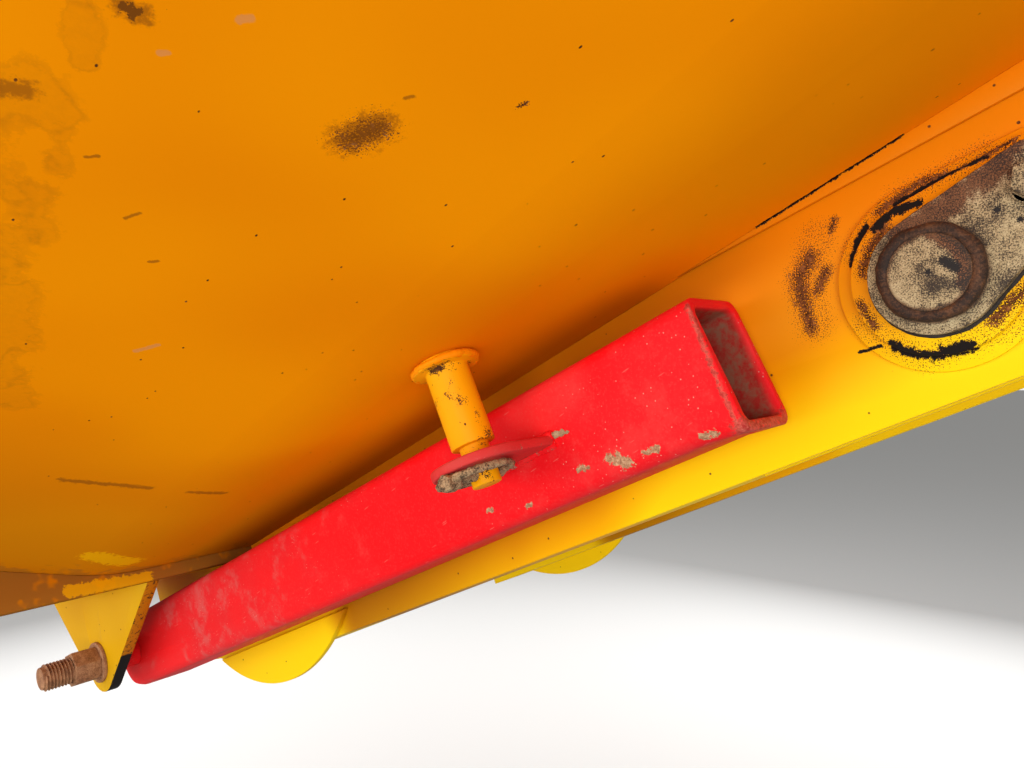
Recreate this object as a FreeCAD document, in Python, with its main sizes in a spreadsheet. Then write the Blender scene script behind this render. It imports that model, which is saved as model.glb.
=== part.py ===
import FreeCAD, Part
import Sketcher
import math
import os

# Tipping skip of a site dumper, with the safety prop stowed under its right side.
#
# Machine frame: X forward, Y to the machine's left, Z up, origin in the middle of the
# tip axis. Three further frames turn about that axis:
#   arm frame    u runs forward and up along the stowed prop, w squarely away from it
#   floor frame  u runs forward and up along the load floor, w squarely away from it
#   wall frame   u runs forward and down the rear wall, w squarely away from it, inwards
# The right-hand side is side = -1, the left-hand side is side = +1.

V = FreeCAD.Vector
HALF_TURN = 180

# Driving sizes in millimetres and degrees, each written once.
SIZES = {
    # slopes of the two turned frames, and of the rear wall
    "arm_slope": 25.0,
    "floor_lead": 1.15,
    "rear_slope": 72.0,
    # load shell
    "shell_wall": 6.0,
    "floor_drop": 96.6,
    "floor_edge": 7.0,
    "skip_half": 980.0,
    "flank_rise": 16.5,
    "fold_radius": 300.0,
    "corner_radius": 80.0,
    "seam_reach": 927.0,
    "sweep_radius": 800.0,
    "sweep_turn": 25.0,
    "heel_radius": 300.0,
    "rim_height": 600.0,
    # rim, lip and stiffeners
    "rim_tall": 50.0,
    "rim_wide": 70.0,
    "rim_wall": 5.0,
    "rim_out": 4.0,
    "lip_deep": 110.0,
    "lip_wall": 16.0,
    "bearer_wide": 80.0,
    "bearer_tall": 55.0,
    "bearer_wall": 6.0,
    "rib_wide": 90.0,
    "rib_deep": 40.0,
    "rib_wall": 5.0,
    "rib_front": -250.0,
    "rib_rear": -850.0,
    "rear_rib_place": 420.0,
    "rear_rib_deep": 60.0,
    "rear_rib_wall": 12.0,
    "strip_wall": 12.0,
    "strip_drop": 16.0,
    "strip_inset": 146.0,
    # arms under the floor
    "arm_half": 330.0,
    "web_wall": 12.0,
    "web_gap": 76.0,
    "web_drop": 81.0,
    "web_front": 190.0,
    "web_end": 96.0,
    "web_tail_rise": 46.0,
    "web_knee": 56.0,
    "web_knee_rise": 31.0,
    "web_low": 124.0,
    "strap_rear": 170.0,
    "strap_deep": 22.0,
    "strap_wall": 5.0,
    "soffit_wall": 12.0,
    "soffit_front": 210.0,
    "soffit_end": 84.0,
    "lobe_wall": 8.0,
    "lobe_end": 72.0,
    "lobe_long": 324.0,
    "lobe_radius": 252.0,
    "lobe_drop": 112.0,
    "tube_end": 234.0,
    "tube_radius": 57.0,
    "tube_wall": 8.0,
    # hinge pins, bosses and flags
    "pin_radius": 25.0,
    "pin_fit": 0.05,
    "pin_proud": 10.0,
    "pin_tail": 8.0,
    "boss_radius": 65.0,
    "boss_tip": 38.0,
    "boss_wall": 5.0,
    "ring_radius": 54.0,
    "ring_tip": 32.0,
    "ring_wall": 8.0,
    "flag_radius": 40.0,
    "flag_tip": 26.0,
    "flag_wall": 10.0,
    "flag_reach": 76.0,
    "flag_lift": 18.0,
    "weld_radius": 36.0,
    "weld_tall": 6.0,
    "keeper_radius": 7.0,
    "keeper_head": 11.0,
    "keeper_tall": 8.8,
    "keeper_washer": 15.0,
    "keeper_washer_wall": 3.0,
    # safety prop
    "prop_wide": 80.0,
    "prop_tall": 100.0,
    "prop_wall": 8.0,
    "prop_corner": 12.0,
    "prop_inner_corner": 7.2,
    "prop_near": 132.0,
    "pivot_back": 207.0,
    "prop_gap": 5.0,
    "lug_wall": 8.0,
    "lug_lift": -3.0,
    "lug_radius": 40.0,
    "stud_reach": 322.0,
    "stud_stand": 48.0,
    "stud_radius": 18.0,
    "neck_radius": 12.0,
    "neck_fit": 1.5,
    "neck_rise": 11.0,
    "stud_tail": 17.0,
    "collar_radius": 28.0,
    "collar_tall": 8.0,
    "collar_wall": 4.0,
    "linch_radius": 4.5,
    "linch_wire": 3.0,
    "linch_ring": 29.0,
    "linch_set": 9.5,
    "linch_head": 6.5,
    "linch_fit": 0.2,
    # prop pivot
    "ear_gap": 34.0,
    "ear_wall": 16.0,
    "ear_radius": 42.0,
    "ear_setback": 5.0,
    "ear_end": 156.0,
    "bolt_radius": 15.0,
    "bolt_fit": 0.08,
    "bolt_head": 21.0,
    "bolt_head_tall": 19.0,
    "bolt_tail": 38.0,
    "nut_tall": 33.0,
    "washer_radius": 28.0,
    "washer_wall": 5.0,
    "spacer_radius": 19.0,
    "rub_gap": 0.3,
    # tipping ram bracket and lifting eyes
    "ram_reach": 560.0,
    "ram_drop": 40.0,
    "ram_bore": 20.0,
    "ram_lug_wall": 20.0,
    "ram_gap": 70.0,
    "ram_lug_radius": 42.0,
    "ram_pad_wall": 10.0,
    "ram_pad_long": 260.0,
    "eye_wall": 16.0,
    "eye_radius": 38.0,
    "eye_bore": 18.0,
    "eye_rise": 42.0,
    "eye_front": -60.0,
    "eye_rear": -1180.0,
}


class Size:
    """A number that also writes itself as a sheet expression."""

    def __init__(self, value, text=None):
        self.value = float(value)
        self.text = repr(float(value)) if text is None else text

    @staticmethod
    def of(other):
        return other if isinstance(other, Size) else Size(other)

    def __add__(self, other):
        other = Size.of(other)
        return Size(self.value + other.value, f"({self.text} + {other.text})")

    def __sub__(self, other):
        other = Size.of(other)
        return Size(self.value - other.value, f"({self.text} - {other.text})")

    def __mul__(self, other):
        other = Size.of(other)
        return Size(self.value * other.value, f"({self.text} * {other.text})")

    def __truediv__(self, other):
        other = Size.of(other)
        return Size(self.value / other.value, f"({self.text} / {other.text})")

    def __neg__(self):
        return Size(-self.value, f"(-1 * {self.text})")

    __radd__ = __add__
    __rmul__ = __mul__

    def __rsub__(self, other):
        return Size.of(other) - self


def sine(angle):
    angle = Size.of(angle)
    return Size(math.sin(math.radians(angle.value)), f"sin({angle.text} * 1 deg)")


def cosine(angle):
    angle = Size.of(angle)
    return Size(math.cos(math.radians(angle.value)), f"cos({angle.text} * 1 deg)")


def root(number):
    return Size(math.sqrt(number.value), f"sqrt({number.text})")


def bearing(rise, run):
    """Angle in degrees of a direction."""
    angle = math.degrees(math.atan2(rise.value, run.value))
    return Size(angle, f"(atan2({rise.text}; {run.text}) / 1 deg)")


def arc_cosine(number):
    return Size(math.degrees(math.acos(number.value)), f"(acos({number.text}) / 1 deg)")


class Sheet:
    """The driving sizes as aliased cells, read back as Size attributes."""

    def __init__(self, doc, sizes):
        self.cells = doc.addObject("Spreadsheet::Sheet", "Dims")
        self.row = 0
        for name, value in sizes.items():
            self.add(name, value)

    def add(self, name, value):
        self.row += 1
        self.cells.set(f"A{self.row}", name)
        self.cells.set(f"B{self.row}", repr(float(value)))
        self.cells.setAlias(f"B{self.row}", name)
        setattr(self, name, Size(value, f"Dims.{name}"))

    def derive(self, name, size):
        """Keeps a worked-out size as a cell of its own, so later expressions stay short."""
        self.add(name, size.value)


doc = FreeCAD.newDocument("TippingSkip")
d = Sheet(doc, SIZES)

# Worked-out sizes.
d.derive("floor_slope", d.arm_slope + d.floor_lead)
# faces between the arm's outer web and the prop's ear, from the middle of the machine
d.derive("prop_inner", d.arm_half + d.lobe_wall + d.prop_gap)
d.derive("prop_outer", d.prop_inner + d.prop_wide)
d.derive("ear_inner", d.prop_outer + d.ear_gap)
d.derive("ear_outer", d.ear_inner + d.ear_wall)
d.derive("web_inner_half", d.arm_half - d.web_wall - d.web_gap - d.web_wall)
# what hangs behind the seam follows the prop's pivot, and the pivot follows the seam
d.derive("prop_pivot", d.seam_reach + d.pivot_back)
d.derive("ear_front", d.seam_reach + d.ear_setback)
d.derive("ear_rear", d.prop_pivot + d.ear_end)
d.derive("web_tail", d.prop_pivot + d.web_end)
d.derive("soffit_rear", d.prop_pivot - d.soffit_end)
d.derive("lobe_rear", d.prop_pivot - d.lobe_end)
d.derive("lobe_front", d.lobe_rear - d.lobe_long)
d.derive("tube_reach", d.prop_pivot - d.tube_end)
# the flat of the floor ends just outside the ear
d.derive("floor_half", d.ear_outer + d.floor_edge)
# where the flank leaves the fold and where it enters the corner, from the middle of the skip
d.derive("fold_out", d.fold_radius * sine(d.flank_rise))
d.derive("fold_up", d.fold_radius * (1 - cosine(d.flank_rise)))
d.derive("corner_in", d.corner_radius * (1 - sine(d.flank_rise)))
d.derive("shell_half", d.skip_half + d.shell_wall)
d.derive("strip_half", d.shell_half - d.strip_inset)
d.derive("flank_run", d.shell_half - d.corner_in - d.floor_half - d.fold_out)
d.derive("flank_climb", d.flank_run * sine(d.flank_rise) / cosine(d.flank_rise))
d.derive("corner_base", d.fold_up + d.flank_climb)
d.derive("trough_tall", d.corner_base + d.corner_radius * cosine(d.flank_rise))
# the lip lies where the trough's upper corner meets the rim
d.derive(
    "lip_reach",
    (d.rim_height - (d.floor_drop + d.trough_tall) * cosine(d.floor_slope)) / sine(d.floor_slope),
)
# the bearer hangs midway between the arms' front end and the lip
d.derive("bearer_reach", (d.web_front + d.lip_reach - d.lip_deep - d.bearer_wide) * 0.5)
d.derive("heel_turn", d.rear_slope + d.floor_slope - d.sweep_turn)
doc.recompute()


class Frame:
    """A frame turned about the tip axis by a slope, in degrees, nose up."""

    def __init__(self, slope):
        self.slope = slope

    def place(self, body):
        if self.slope is None:
            return
        turn = FreeCAD.Rotation(V(0, 1, 0), -self.slope.value)
        body.Placement = FreeCAD.Placement(V(0, 0, 0), turn)
        body.setExpression("Placement.Rotation.Angle", f"-1 * {self.slope.text} * 1 deg")


MACHINE = Frame(None)
ARM = Frame(d.arm_slope)
FLOOR = Frame(d.floor_slope)
REAR_WALL = Frame(-d.rear_slope)


class Line:
    """Straight stretch to a corner."""

    def __init__(self, x, y):
        self.x, self.y = Size.of(x), Size.of(y)


class Arc(Line):
    """Round stretch to a corner; turn is +1 anticlockwise and -1 clockwise."""

    def __init__(self, x, y, radius, turn):
        super().__init__(x, y)
        self.radius, self.turn = Size.of(radius), turn


def arc_centre(start, end, radius, turn):
    middle = (start + end) * 0.5
    half = (end - start) * 0.5
    rise = math.sqrt(max(radius * radius - half.Length ** 2, 0.0))
    side = V(-half.y, half.x, 0).normalize()
    return middle + side * (rise * turn)


def plane_of(body, role):
    return next(item for item in body.Origin.OriginFeatures if item.Role == role)


def sketch_on(body, role, offset, name):
    sketch = body.newObject("Sketcher::SketchObject", name)
    sketch.AttachmentSupport = (plane_of(body, role), [""])
    sketch.MapMode = "FlatFace"
    offset = Size.of(offset)
    sketch.AttachmentOffset = FreeCAD.Placement(V(0, 0, offset.value), FreeCAD.Rotation())
    sketch.setExpression("AttachmentOffset.Base.z", offset.text)
    return sketch


def bind(sketch, kind, geometry, point, size):
    index = sketch.addConstraint(Sketcher.Constraint(kind, -1, 1, geometry, point, size.value))
    sketch.setExpression(f"Constraints[{index}]", size.text)


def draw_path(sketch, path):
    """Closed outline of lines and arcs, each corner held by its two sizes."""
    first = sketch.GeometryCount
    starts = []
    for index, step in enumerate(path):
        before = path[index - 1]
        start = V(before.x.value, before.y.value, 0)
        end = V(step.x.value, step.y.value, 0)
        if isinstance(step, Arc):
            centre = arc_centre(start, end, step.radius.value, step.turn)
            a, b = (start, end) if step.turn > 0 else (end, start)
            angle_a = math.atan2(a.y - centre.y, a.x - centre.x)
            angle_b = math.atan2(b.y - centre.y, b.x - centre.x)
            circle = Part.Circle(centre, V(0, 0, 1), step.radius.value)
            sketch.addGeometry(Part.ArcOfCircle(circle, angle_a, angle_b), False)
            starts.append((1, 2) if step.turn > 0 else (2, 1))
        else:
            sketch.addGeometry(Part.LineSegment(start, end), False)
            starts.append((1, 2))
    count = len(path)
    for index in range(count):
        after = (index + 1) % count
        sketch.addConstraint(
            Sketcher.Constraint(
                "Coincident", first + index, starts[index][1], first + after, starts[after][0]
            )
        )
    for index, step in enumerate(path):
        bind(sketch, "DistanceX", first + index, starts[index][1], step.x)
        bind(sketch, "DistanceY", first + index, starts[index][1], step.y)
        if isinstance(step, Arc):
            held = sketch.addConstraint(
                Sketcher.Constraint("Radius", first + index, step.radius.value)
            )
            sketch.setExpression(f"Constraints[{held}]", step.radius.text)


def draw_circle(sketch, x, y, radius):
    x, y, radius = Size.of(x), Size.of(y), Size.of(radius)
    index = sketch.GeometryCount
    sketch.addGeometry(Part.Circle(V(x.value, y.value, 0), V(0, 0, 1), radius.value), False)
    bind(sketch, "DistanceX", index, 3, x)
    bind(sketch, "DistanceY", index, 3, y)
    held = sketch.addConstraint(Sketcher.Constraint("Radius", index, radius.value))
    sketch.setExpression(f"Constraints[{held}]", radius.text)


def new_body(name, frame):
    body = doc.addObject("PartDesign::Body", name)
    body.Label = name
    frame.place(body)
    return body


def pad_of(body, sketch, length, name):
    pad = body.newObject("PartDesign::Pad", name)
    pad.Profile = sketch
    length = Size.of(length)
    pad.Length = length.value
    pad.setExpression("Length", length.text)
    return pad


def layer(body, name, low, high, path, holes=(), inner=None):
    """Adds to a body what lies between y = low and y = high, outlined in x and z."""
    sketch = sketch_on(body, "XZ_Plane", -Size.of(high), name + "_outline")
    if path:
        draw_path(sketch, path)
    if inner:
        draw_path(sketch, inner)
    for x, z, radius in holes:
        draw_circle(sketch, x, z, radius)
    return pad_of(body, sketch, Size.of(high) - Size.of(low), name + "_pad")


def plate(name, frame, low, high, path, holes=(), inner=None):
    """Plate across the machine, between y = low and y = high, outlined in x and z."""
    body = new_body(name, frame)
    layer(body, name, low, high, path, holes, inner)
    return body


def flat(name, frame, low, high, path, holes=()):
    """Plate that lies level in its frame, between z = low and z = high."""
    body = new_body(name, frame)
    sketch = sketch_on(body, "XY_Plane", low, name + "_outline")
    draw_path(sketch, path)
    for x, y, radius in holes:
        draw_circle(sketch, x, y, radius)
    pad_of(body, sketch, Size.of(high) - Size.of(low), name + "_pad")
    return body


def post(name, frame, x, y, steps):
    """Round post along z, in steps of low, high and radius."""
    body = new_body(name, frame)
    for index, (low, high, radius) in enumerate(steps):
        sketch = sketch_on(body, "XY_Plane", low, f"{name}_step_{index}")
        draw_circle(sketch, x, y, radius)
        pad_of(body, sketch, Size.of(high) - Size.of(low), f"{name}_pad_{index}")
    return body


def cut_across(body, name, at, depth, path, holes=(), outward=1):
    """Cuts from the plane y = at, towards larger y where outward is +1."""
    sketch = sketch_on(body, "XZ_Plane", -Size.of(at), name + "_cut_outline")
    if path:
        draw_path(sketch, path)
    for x, z, radius in holes:
        draw_circle(sketch, x, z, radius)
    cut = body.newObject("PartDesign::Pocket", name + "_cut")
    cut.Profile = sketch
    cut.Reversed = outward < 0
    depth = Size.of(depth)
    cut.Length = depth.value
    cut.setExpression("Length", depth.text)
    return cut


def rod(name, frame, low, high, x, z, radius, bore=None):
    """Round bar or sleeve across the machine, between y = low and y = high."""
    holes = [(x, z, radius)]
    if bore is not None:
        holes.append((x, z, bore))
    return plate(name, frame, low, high, (), holes)


def extrusion(name, frame, rear, front, path, inner=None):
    """Bar along x from rear to front, its section outlined in y and z."""
    body = new_body(name, frame)
    sketch = sketch_on(body, "YZ_Plane", rear, name + "_section")
    draw_path(sketch, path)
    if inner:
        draw_path(sketch, inner)
    pad_of(body, sketch, Size.of(front) - Size.of(rear), name + "_pad")
    return body


def box_path(x0, x1, y0, y1):
    return [Line(x0, y0), Line(x1, y0), Line(x1, y1), Line(x0, y1)]


def rounded_box(x0, x1, y0, y1, radius):
    return [
        Line(x1 - radius, y0),
        Arc(x1, y0 + radius, radius, 1),
        Line(x1, y1 - radius),
        Arc(x1 - radius, y1, radius, 1),
        Line(x0 + radius, y1),
        Arc(x0, y1 - radius, radius, 1),
        Line(x0, y0 + radius),
        Arc(x0 + radius, y0, radius, 1),
    ]


def on_circle(centre, radius, angle):
    return centre[0] + radius * cosine(angle), centre[1] + radius * sine(angle)


def hull_path(centre, radius, far_centre, far_radius):
    """Teardrop around two circles, run anticlockwise."""
    run, rise = far_centre[0] - centre[0], far_centre[1] - centre[1]
    aim = bearing(rise, run)
    lean = arc_cosine((radius - far_radius) / root(run * run + rise * rise))
    return [
        Arc(*on_circle(far_centre, far_radius, aim), far_radius, 1),
        Arc(*on_circle(far_centre, far_radius, aim + lean), far_radius, 1),
        Line(*on_circle(centre, radius, aim + lean)),
        Arc(*on_circle(centre, radius, aim + HALF_TURN), radius, 1),
        Arc(*on_circle(centre, radius, aim - lean), radius, 1),
        Line(*on_circle(far_centre, far_radius, aim - lean)),
    ]


def touch(point, centre, radius, turn):
    """Angle at which a line from a point touches a circle, on the side given by turn."""
    run, rise = point[0] - centre[0], point[1] - centre[1]
    lean = arc_cosine(radius / root(run * run + rise * rise))
    return bearing(rise, run) + lean * turn


def hanging_path(left, right, centre, radius, top=()):
    """Bracket that narrows from two upper corners to a round lower end, anticlockwise.

    The steps in top run from the right corner to the left one."""
    angle_left = touch(left, centre, radius, 1)
    angle_right = touch(right, centre, radius, -1)
    middle = (angle_left + angle_right) * 0.5
    if angle_left.value > angle_right.value:
        middle = middle + HALF_TURN
    return [
        Line(*right),
        *(top or [Line(*left)]),
        Line(*on_circle(centre, radius, angle_left)),
        Arc(*on_circle(centre, radius, middle), radius, 1),
        Arc(*on_circle(centre, radius, angle_right), radius, 1),
    ]


def hex_path(x, z, half_flats):
    """Hexagon with two level flats, from half its width across the flats."""
    corner = half_flats / cosine(30)
    return [Line(*on_circle((x, z), corner, 60 * step)) for step in range(6)]


def to_floor(u, w):
    """A place in the arm frame, given in the floor frame."""
    u, w = Size.of(u), Size.of(w)
    run, rise = cosine(d.floor_lead), sine(d.floor_lead)
    return u * run + w * rise, w * run - u * rise


def to_machine(x, z):
    """A place in the floor frame, given in the machine frame."""
    x, z = Size.of(x), Size.of(z)
    run, rise = cosine(d.floor_slope), sine(d.floor_slope)
    return x * run - z * rise, x * rise + z * run


def span(side, near, far):
    """The low and high y of a piece that lies between two distances from the middle."""
    return (near, far) if side > 0 else (-Size.of(far), -Size.of(near))


SIDES = (("right", -1), ("left", 1))


def flank_edge(side, inset, base):
    """Edge of the trough's section from flat to upper corner, inset from the underside."""
    lean_y, lean_z = inset * sine(d.flank_rise), inset * cosine(d.flank_rise)
    fold_y, fold_z = d.floor_half + d.fold_out, base + d.fold_up
    turn_y, turn_z = d.shell_half - d.corner_in, base + d.corner_base
    top = base + d.trough_tall
    return [
        Line(side * d.floor_half, base + inset),
        Arc(side * (fold_y - lean_y), fold_z + lean_z, d.fold_radius - inset, side),
        Line(side * (turn_y - lean_y), turn_z + lean_z),
        Arc(side * (d.shell_half - inset), top, d.corner_radius - inset, side),
    ]


def run_back(steps):
    """The same steps run the other way."""
    back = [Line(steps[-1].x, steps[-1].y)]
    for step, before in zip(steps[:0:-1], steps[-2::-1]):
        if isinstance(step, Arc):
            back.append(Arc(before.x, before.y, step.radius, -step.turn))
        else:
            back.append(Line(before.x, before.y))
    return back


def flank_path(side):
    """Section of a flank, one wall thick."""
    base = d.floor_drop
    return flank_edge(side, Size(0), base) + run_back(flank_edge(side, d.shell_wall, base))


def trough_path(under, over, base):
    """Section of the whole trough between two insets from its underside."""
    return (
        run_back(flank_edge(-1, under, base))
        + flank_edge(1, under, base)
        + run_back(flank_edge(1, over, base))
        + flank_edge(-1, over, base)
    )


def rim_cut(body, name, slope, far):
    """Removes everything above the level rim from a body in a frame of the given slope."""
    rise = cosine(slope)
    run = sine(slope)
    sketch = sketch_on(body, "XZ_Plane", 0, name + "_level")
    base_x = d.rim_height * run
    base_z = d.rim_height * rise
    corners = [
        Line(base_x + far * rise, base_z - far * run),
        Line(base_x + far * rise + far * run, base_z - far * run + far * rise),
        Line(base_x - far * rise + far * run, base_z + far * run + far * rise),
        Line(base_x - far * rise, base_z + far * run),
    ]
    draw_path(sketch, corners)
    cut = body.newObject("PartDesign::Pocket", name + "_rim_cut")
    cut.Profile = sketch
    cut.Type = 1
    cut.Midplane = True


def build_floor():
    flat = box_path(-d.floor_half, d.floor_half, d.floor_drop, d.floor_drop + d.shell_wall)
    extrusion("floor_plate", FLOOR, -d.seam_reach, d.lip_reach, flat)
    for label, side in SIDES:
        extrusion(f"flank_{label}", FLOOR, -d.seam_reach, d.lip_reach, flank_path(side))


def heel_points():
    """Centres and joints of the two rear sweeps, in the floor frame."""
    first = (-d.seam_reach, d.floor_drop + d.sweep_radius)
    joint = (
        first[0] - d.sweep_radius * sine(d.sweep_turn),
        first[1] - d.sweep_radius * cosine(d.sweep_turn),
    )
    second = (
        joint[0] + d.heel_radius * sine(d.sweep_turn),
        joint[1] + d.heel_radius * cosine(d.sweep_turn),
    )
    turned = d.sweep_turn + d.heel_turn
    end = (
        second[0] - d.heel_radius * sine(turned),
        second[1] - d.heel_radius * cosine(turned),
    )
    return first, joint, second, end, turned


def build_rear_shell():
    """The trough's section swept through both bends of the heel."""
    first, joint, second, end = heel_points()[:4]
    body = new_body("rear_shell", FLOOR)
    section = sketch_on(body, "YZ_Plane", -d.seam_reach, "rear_shell_section")
    draw_path(section, trough_path(Size(0), d.shell_wall, d.floor_drop))
    spine = sketch_on(body, "XZ_Plane", 0, "rear_shell_spine")
    draw_spine(spine, first, joint, second, end)
    pipe = body.newObject("PartDesign::AdditivePipe", "rear_shell_pipe")
    pipe.Profile = section
    pipe.Spine = (spine, ["Edge1", "Edge2"])


def build_rear_wall():
    """The same section straight on up the rear wall, cut level at the rim."""
    x, z = to_machine(*heel_points()[3])
    rise, run = sine(d.rear_slope), cosine(d.rear_slope)
    foot = x * run - z * rise
    base = x * rise + z * run
    climb = (d.rim_height - z) / rise
    over = d.trough_tall * run / rise
    section = trough_path(Size(0), d.shell_wall, base)
    body = extrusion("rear_wall", REAR_WALL, foot - climb - over, foot, section)
    doc.recompute()
    rim_cut(body, "rear_wall", -d.rear_slope, d.rim_height - base + climb)


def draw_spine(sketch, first, joint, second, end):
    """Two arcs end to end, from the seam to the foot of the rear wall."""
    start = (-d.seam_reach, d.floor_drop)
    for (centre, radius, a, b) in (
        (first, d.sweep_radius, joint, start),
        (second, d.heel_radius, end, joint),
    ):
        angle_a = math.atan2(a[1].value - centre[1].value, a[0].value - centre[0].value)
        angle_b = math.atan2(b[1].value - centre[1].value, b[0].value - centre[0].value)
        circle = Part.Circle(V(centre[0].value, centre[1].value, 0), V(0, 0, 1), radius.value)
        sketch.addGeometry(Part.ArcOfCircle(circle, angle_a, angle_b), False)
    sketch.addConstraint(Sketcher.Constraint("Coincident", 0, 1, 1, 2))
    for geometry, point, stop in ((0, 2, start), (0, 1, joint), (1, 1, end)):
        bind(sketch, "DistanceX", geometry, point, stop[0])
        bind(sketch, "DistanceY", geometry, point, stop[1])
    for geometry, radius in ((0, d.sweep_radius), (1, d.heel_radius)):
        held = sketch.addConstraint(Sketcher.Constraint("Radius", geometry, radius.value))
        sketch.setExpression(f"Constraints[{held}]", radius.text)


def wall_path():
    """Side wall: the trough's upper edge below, the level rim above."""
    first, joint, second, end, turned = heel_points()
    tall = d.trough_tall
    edge = d.floor_drop + tall
    near_first = d.sweep_radius - tall
    near_second = d.heel_radius - tall
    low_joint = (
        first[0] - near_first * sine(d.sweep_turn),
        first[1] - near_first * cosine(d.sweep_turn),
    )
    low_end = (
        second[0] - near_second * sine(turned),
        second[1] - near_second * cosine(turned),
    )
    # the rim line in this frame: x * sin(slope) + z * cos(slope) = rim height
    level = low_end[0] * sine(d.floor_slope) + low_end[1] * cosine(d.floor_slope)
    climb = (d.rim_height - level) / sine(d.rear_slope)
    top = (low_end[0] - climb * cosine(turned), low_end[1] + climb * sine(turned))
    return [
        Line(d.lip_reach, edge),
        Line(*top),
        Line(*low_end),
        Arc(*low_joint, near_second, 1),
        Arc(-d.seam_reach, edge, near_first, 1),
    ]


def build_side_walls():
    for label, side in SIDES:
        low, high = span(side, d.skip_half, d.shell_half)
        plate(f"side_wall_{label}", FLOOR, low, high, wall_path())


def build_rim():
    """One hollow bar along both sides and round the back, mitred at its bends."""
    end = heel_points()[3]
    end_x, end_z = to_machine(*end)
    back = end_x - (d.rim_height - end_z) * cosine(d.rear_slope) / sine(d.rear_slope)
    front = to_machine(d.lip_reach, d.floor_drop + d.trough_tall)[0]
    low, high = d.rim_height, d.rim_height + d.rim_tall
    middle = d.shell_half + d.rim_out
    near, far = middle - d.rim_wide * 0.5, middle + d.rim_wide * 0.5
    wall = d.rim_wall
    # the level section of the rear wall: flat in the middle, raked forward at the flanks
    rake = sine(d.flank_rise) / cosine(d.flank_rise) / sine(d.rear_slope)
    bend = d.floor_half + d.fold_out - d.fold_up * cosine(d.flank_rise) / sine(d.flank_rise)
    back_x = back - d.rim_out
    corner_x = back_x + (middle - bend) * rake
    body = new_body("rim", MACHINE)
    section = sketch_on(body, "YZ_Plane", front, "rim_section")
    draw_path(section, box_path(-far, -near, low, high))
    draw_path(section, box_path(wall - far, -near - wall, low + wall, high - wall))
    spine = sketch_on(body, "XY_Plane", (low + high) * 0.5, "rim_spine")
    stops = [
        (front, -middle),
        (corner_x, -middle),
        (back_x, -bend),
        (back_x, bend),
        (corner_x, middle),
        (front, middle),
    ]
    draw_chain(spine, stops)
    pipe = body.newObject("PartDesign::AdditivePipe", "rim_pipe")
    pipe.Profile = section
    pipe.Spine = (spine, [f"Edge{index + 1}" for index in range(len(stops) - 1)])
    pipe.Transition = 1


def draw_chain(sketch, stops):
    """Open chain of straight stretches."""
    points = [V(x.value, y.value, 0) for x, y in stops]
    for start, end in zip(points, points[1:]):
        sketch.addGeometry(Part.LineSegment(start, end), False)
    for index in range(len(points) - 2):
        sketch.addConstraint(Sketcher.Constraint("Coincident", index, 2, index + 1, 1))
    for index, (x, y) in enumerate(stops):
        geometry, point = (index, 1) if index < len(stops) - 1 else (index - 1, 2)
        bind(sketch, "DistanceX", geometry, point, x)
        bind(sketch, "DistanceY", geometry, point, y)


def build_lip_and_bearer():
    """Wear bar round the lip's underside and the hollow bearer across the arms' front."""
    floor, half = d.floor_drop, d.floor_half
    lip = trough_path(-d.lip_wall, Size(0), floor)
    extrusion("lip_bar", FLOOR, d.lip_reach - d.lip_deep, d.lip_reach, lip)
    rear, wall = d.bearer_reach, d.bearer_wall
    front = rear + d.bearer_wide
    low = floor - d.bearer_tall
    outer = box_path(rear, front, low, floor)
    inner = box_path(rear + wall, front - wall, low + wall, floor - wall)
    plate("front_bearer", FLOOR, -half, half, outer, (), inner)


def wall_foot(x):
    """Height of the side wall's lower edge over a place on its straight stretch."""
    run, rise = cosine(d.floor_slope), sine(d.floor_slope)
    return (x * rise + d.floor_drop + d.trough_tall) / run


def build_side_ribs():
    """Folded channels that stand on the side walls, open towards the wall."""
    half, wall = d.rib_wide * 0.5, d.rib_wall
    for place, middle in (("front", d.rib_front), ("rear", d.rib_rear)):
        for label, side in SIDES:
            name = f"rib_{place}_{label}"
            low, high = span(side, d.shell_half, d.shell_half + d.rib_deep)
            x0, x1 = middle - half, middle + half
            outline = [
                Line(x0, wall_foot(x0)),
                Line(x1, wall_foot(x1)),
                Line(x1, d.rim_height),
                Line(x0, d.rim_height),
            ]
            body = plate(name, MACHINE, low, high, outline)
            y0, y1 = x0 + wall, x1 - wall
            hollow = [
                Line(y0, wall_foot(y0) + wall),
                Line(y1, wall_foot(y1) + wall),
                Line(y1, d.rim_height - wall),
                Line(y0, d.rim_height - wall),
            ]
            cut_across(body, name, side * d.shell_half, d.rib_deep - wall, hollow, (), side)


def build_rear_ribs():
    """Flat bars on edge up the rear wall."""
    end, turned = heel_points()[3:]
    end_z = to_machine(*end)[1]
    climb = (d.rim_height - end_z) / sine(d.rear_slope)
    along = (-cosine(turned), sine(turned))
    out = (-sine(turned), -cosine(turned))
    deep = d.rear_rib_deep
    top = climb - deep * cosine(d.rear_slope) / sine(d.rear_slope)
    outline = [
        Line(end[0], end[1]),
        Line(end[0] + climb * along[0], end[1] + climb * along[1]),
        Line(
            end[0] + top * along[0] + deep * out[0],
            end[1] + top * along[1] + deep * out[1],
        ),
        Line(
            end[0] + deep * along[0] + deep * out[0],
            end[1] + deep * along[1] + deep * out[1],
        ),
    ]
    for label, side in SIDES:
        low, high = span(side, d.rear_rib_place, d.rear_rib_place + d.rear_rib_wall)
        plate(f"rear_rib_{label}", FLOOR, low, high, outline)


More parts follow.
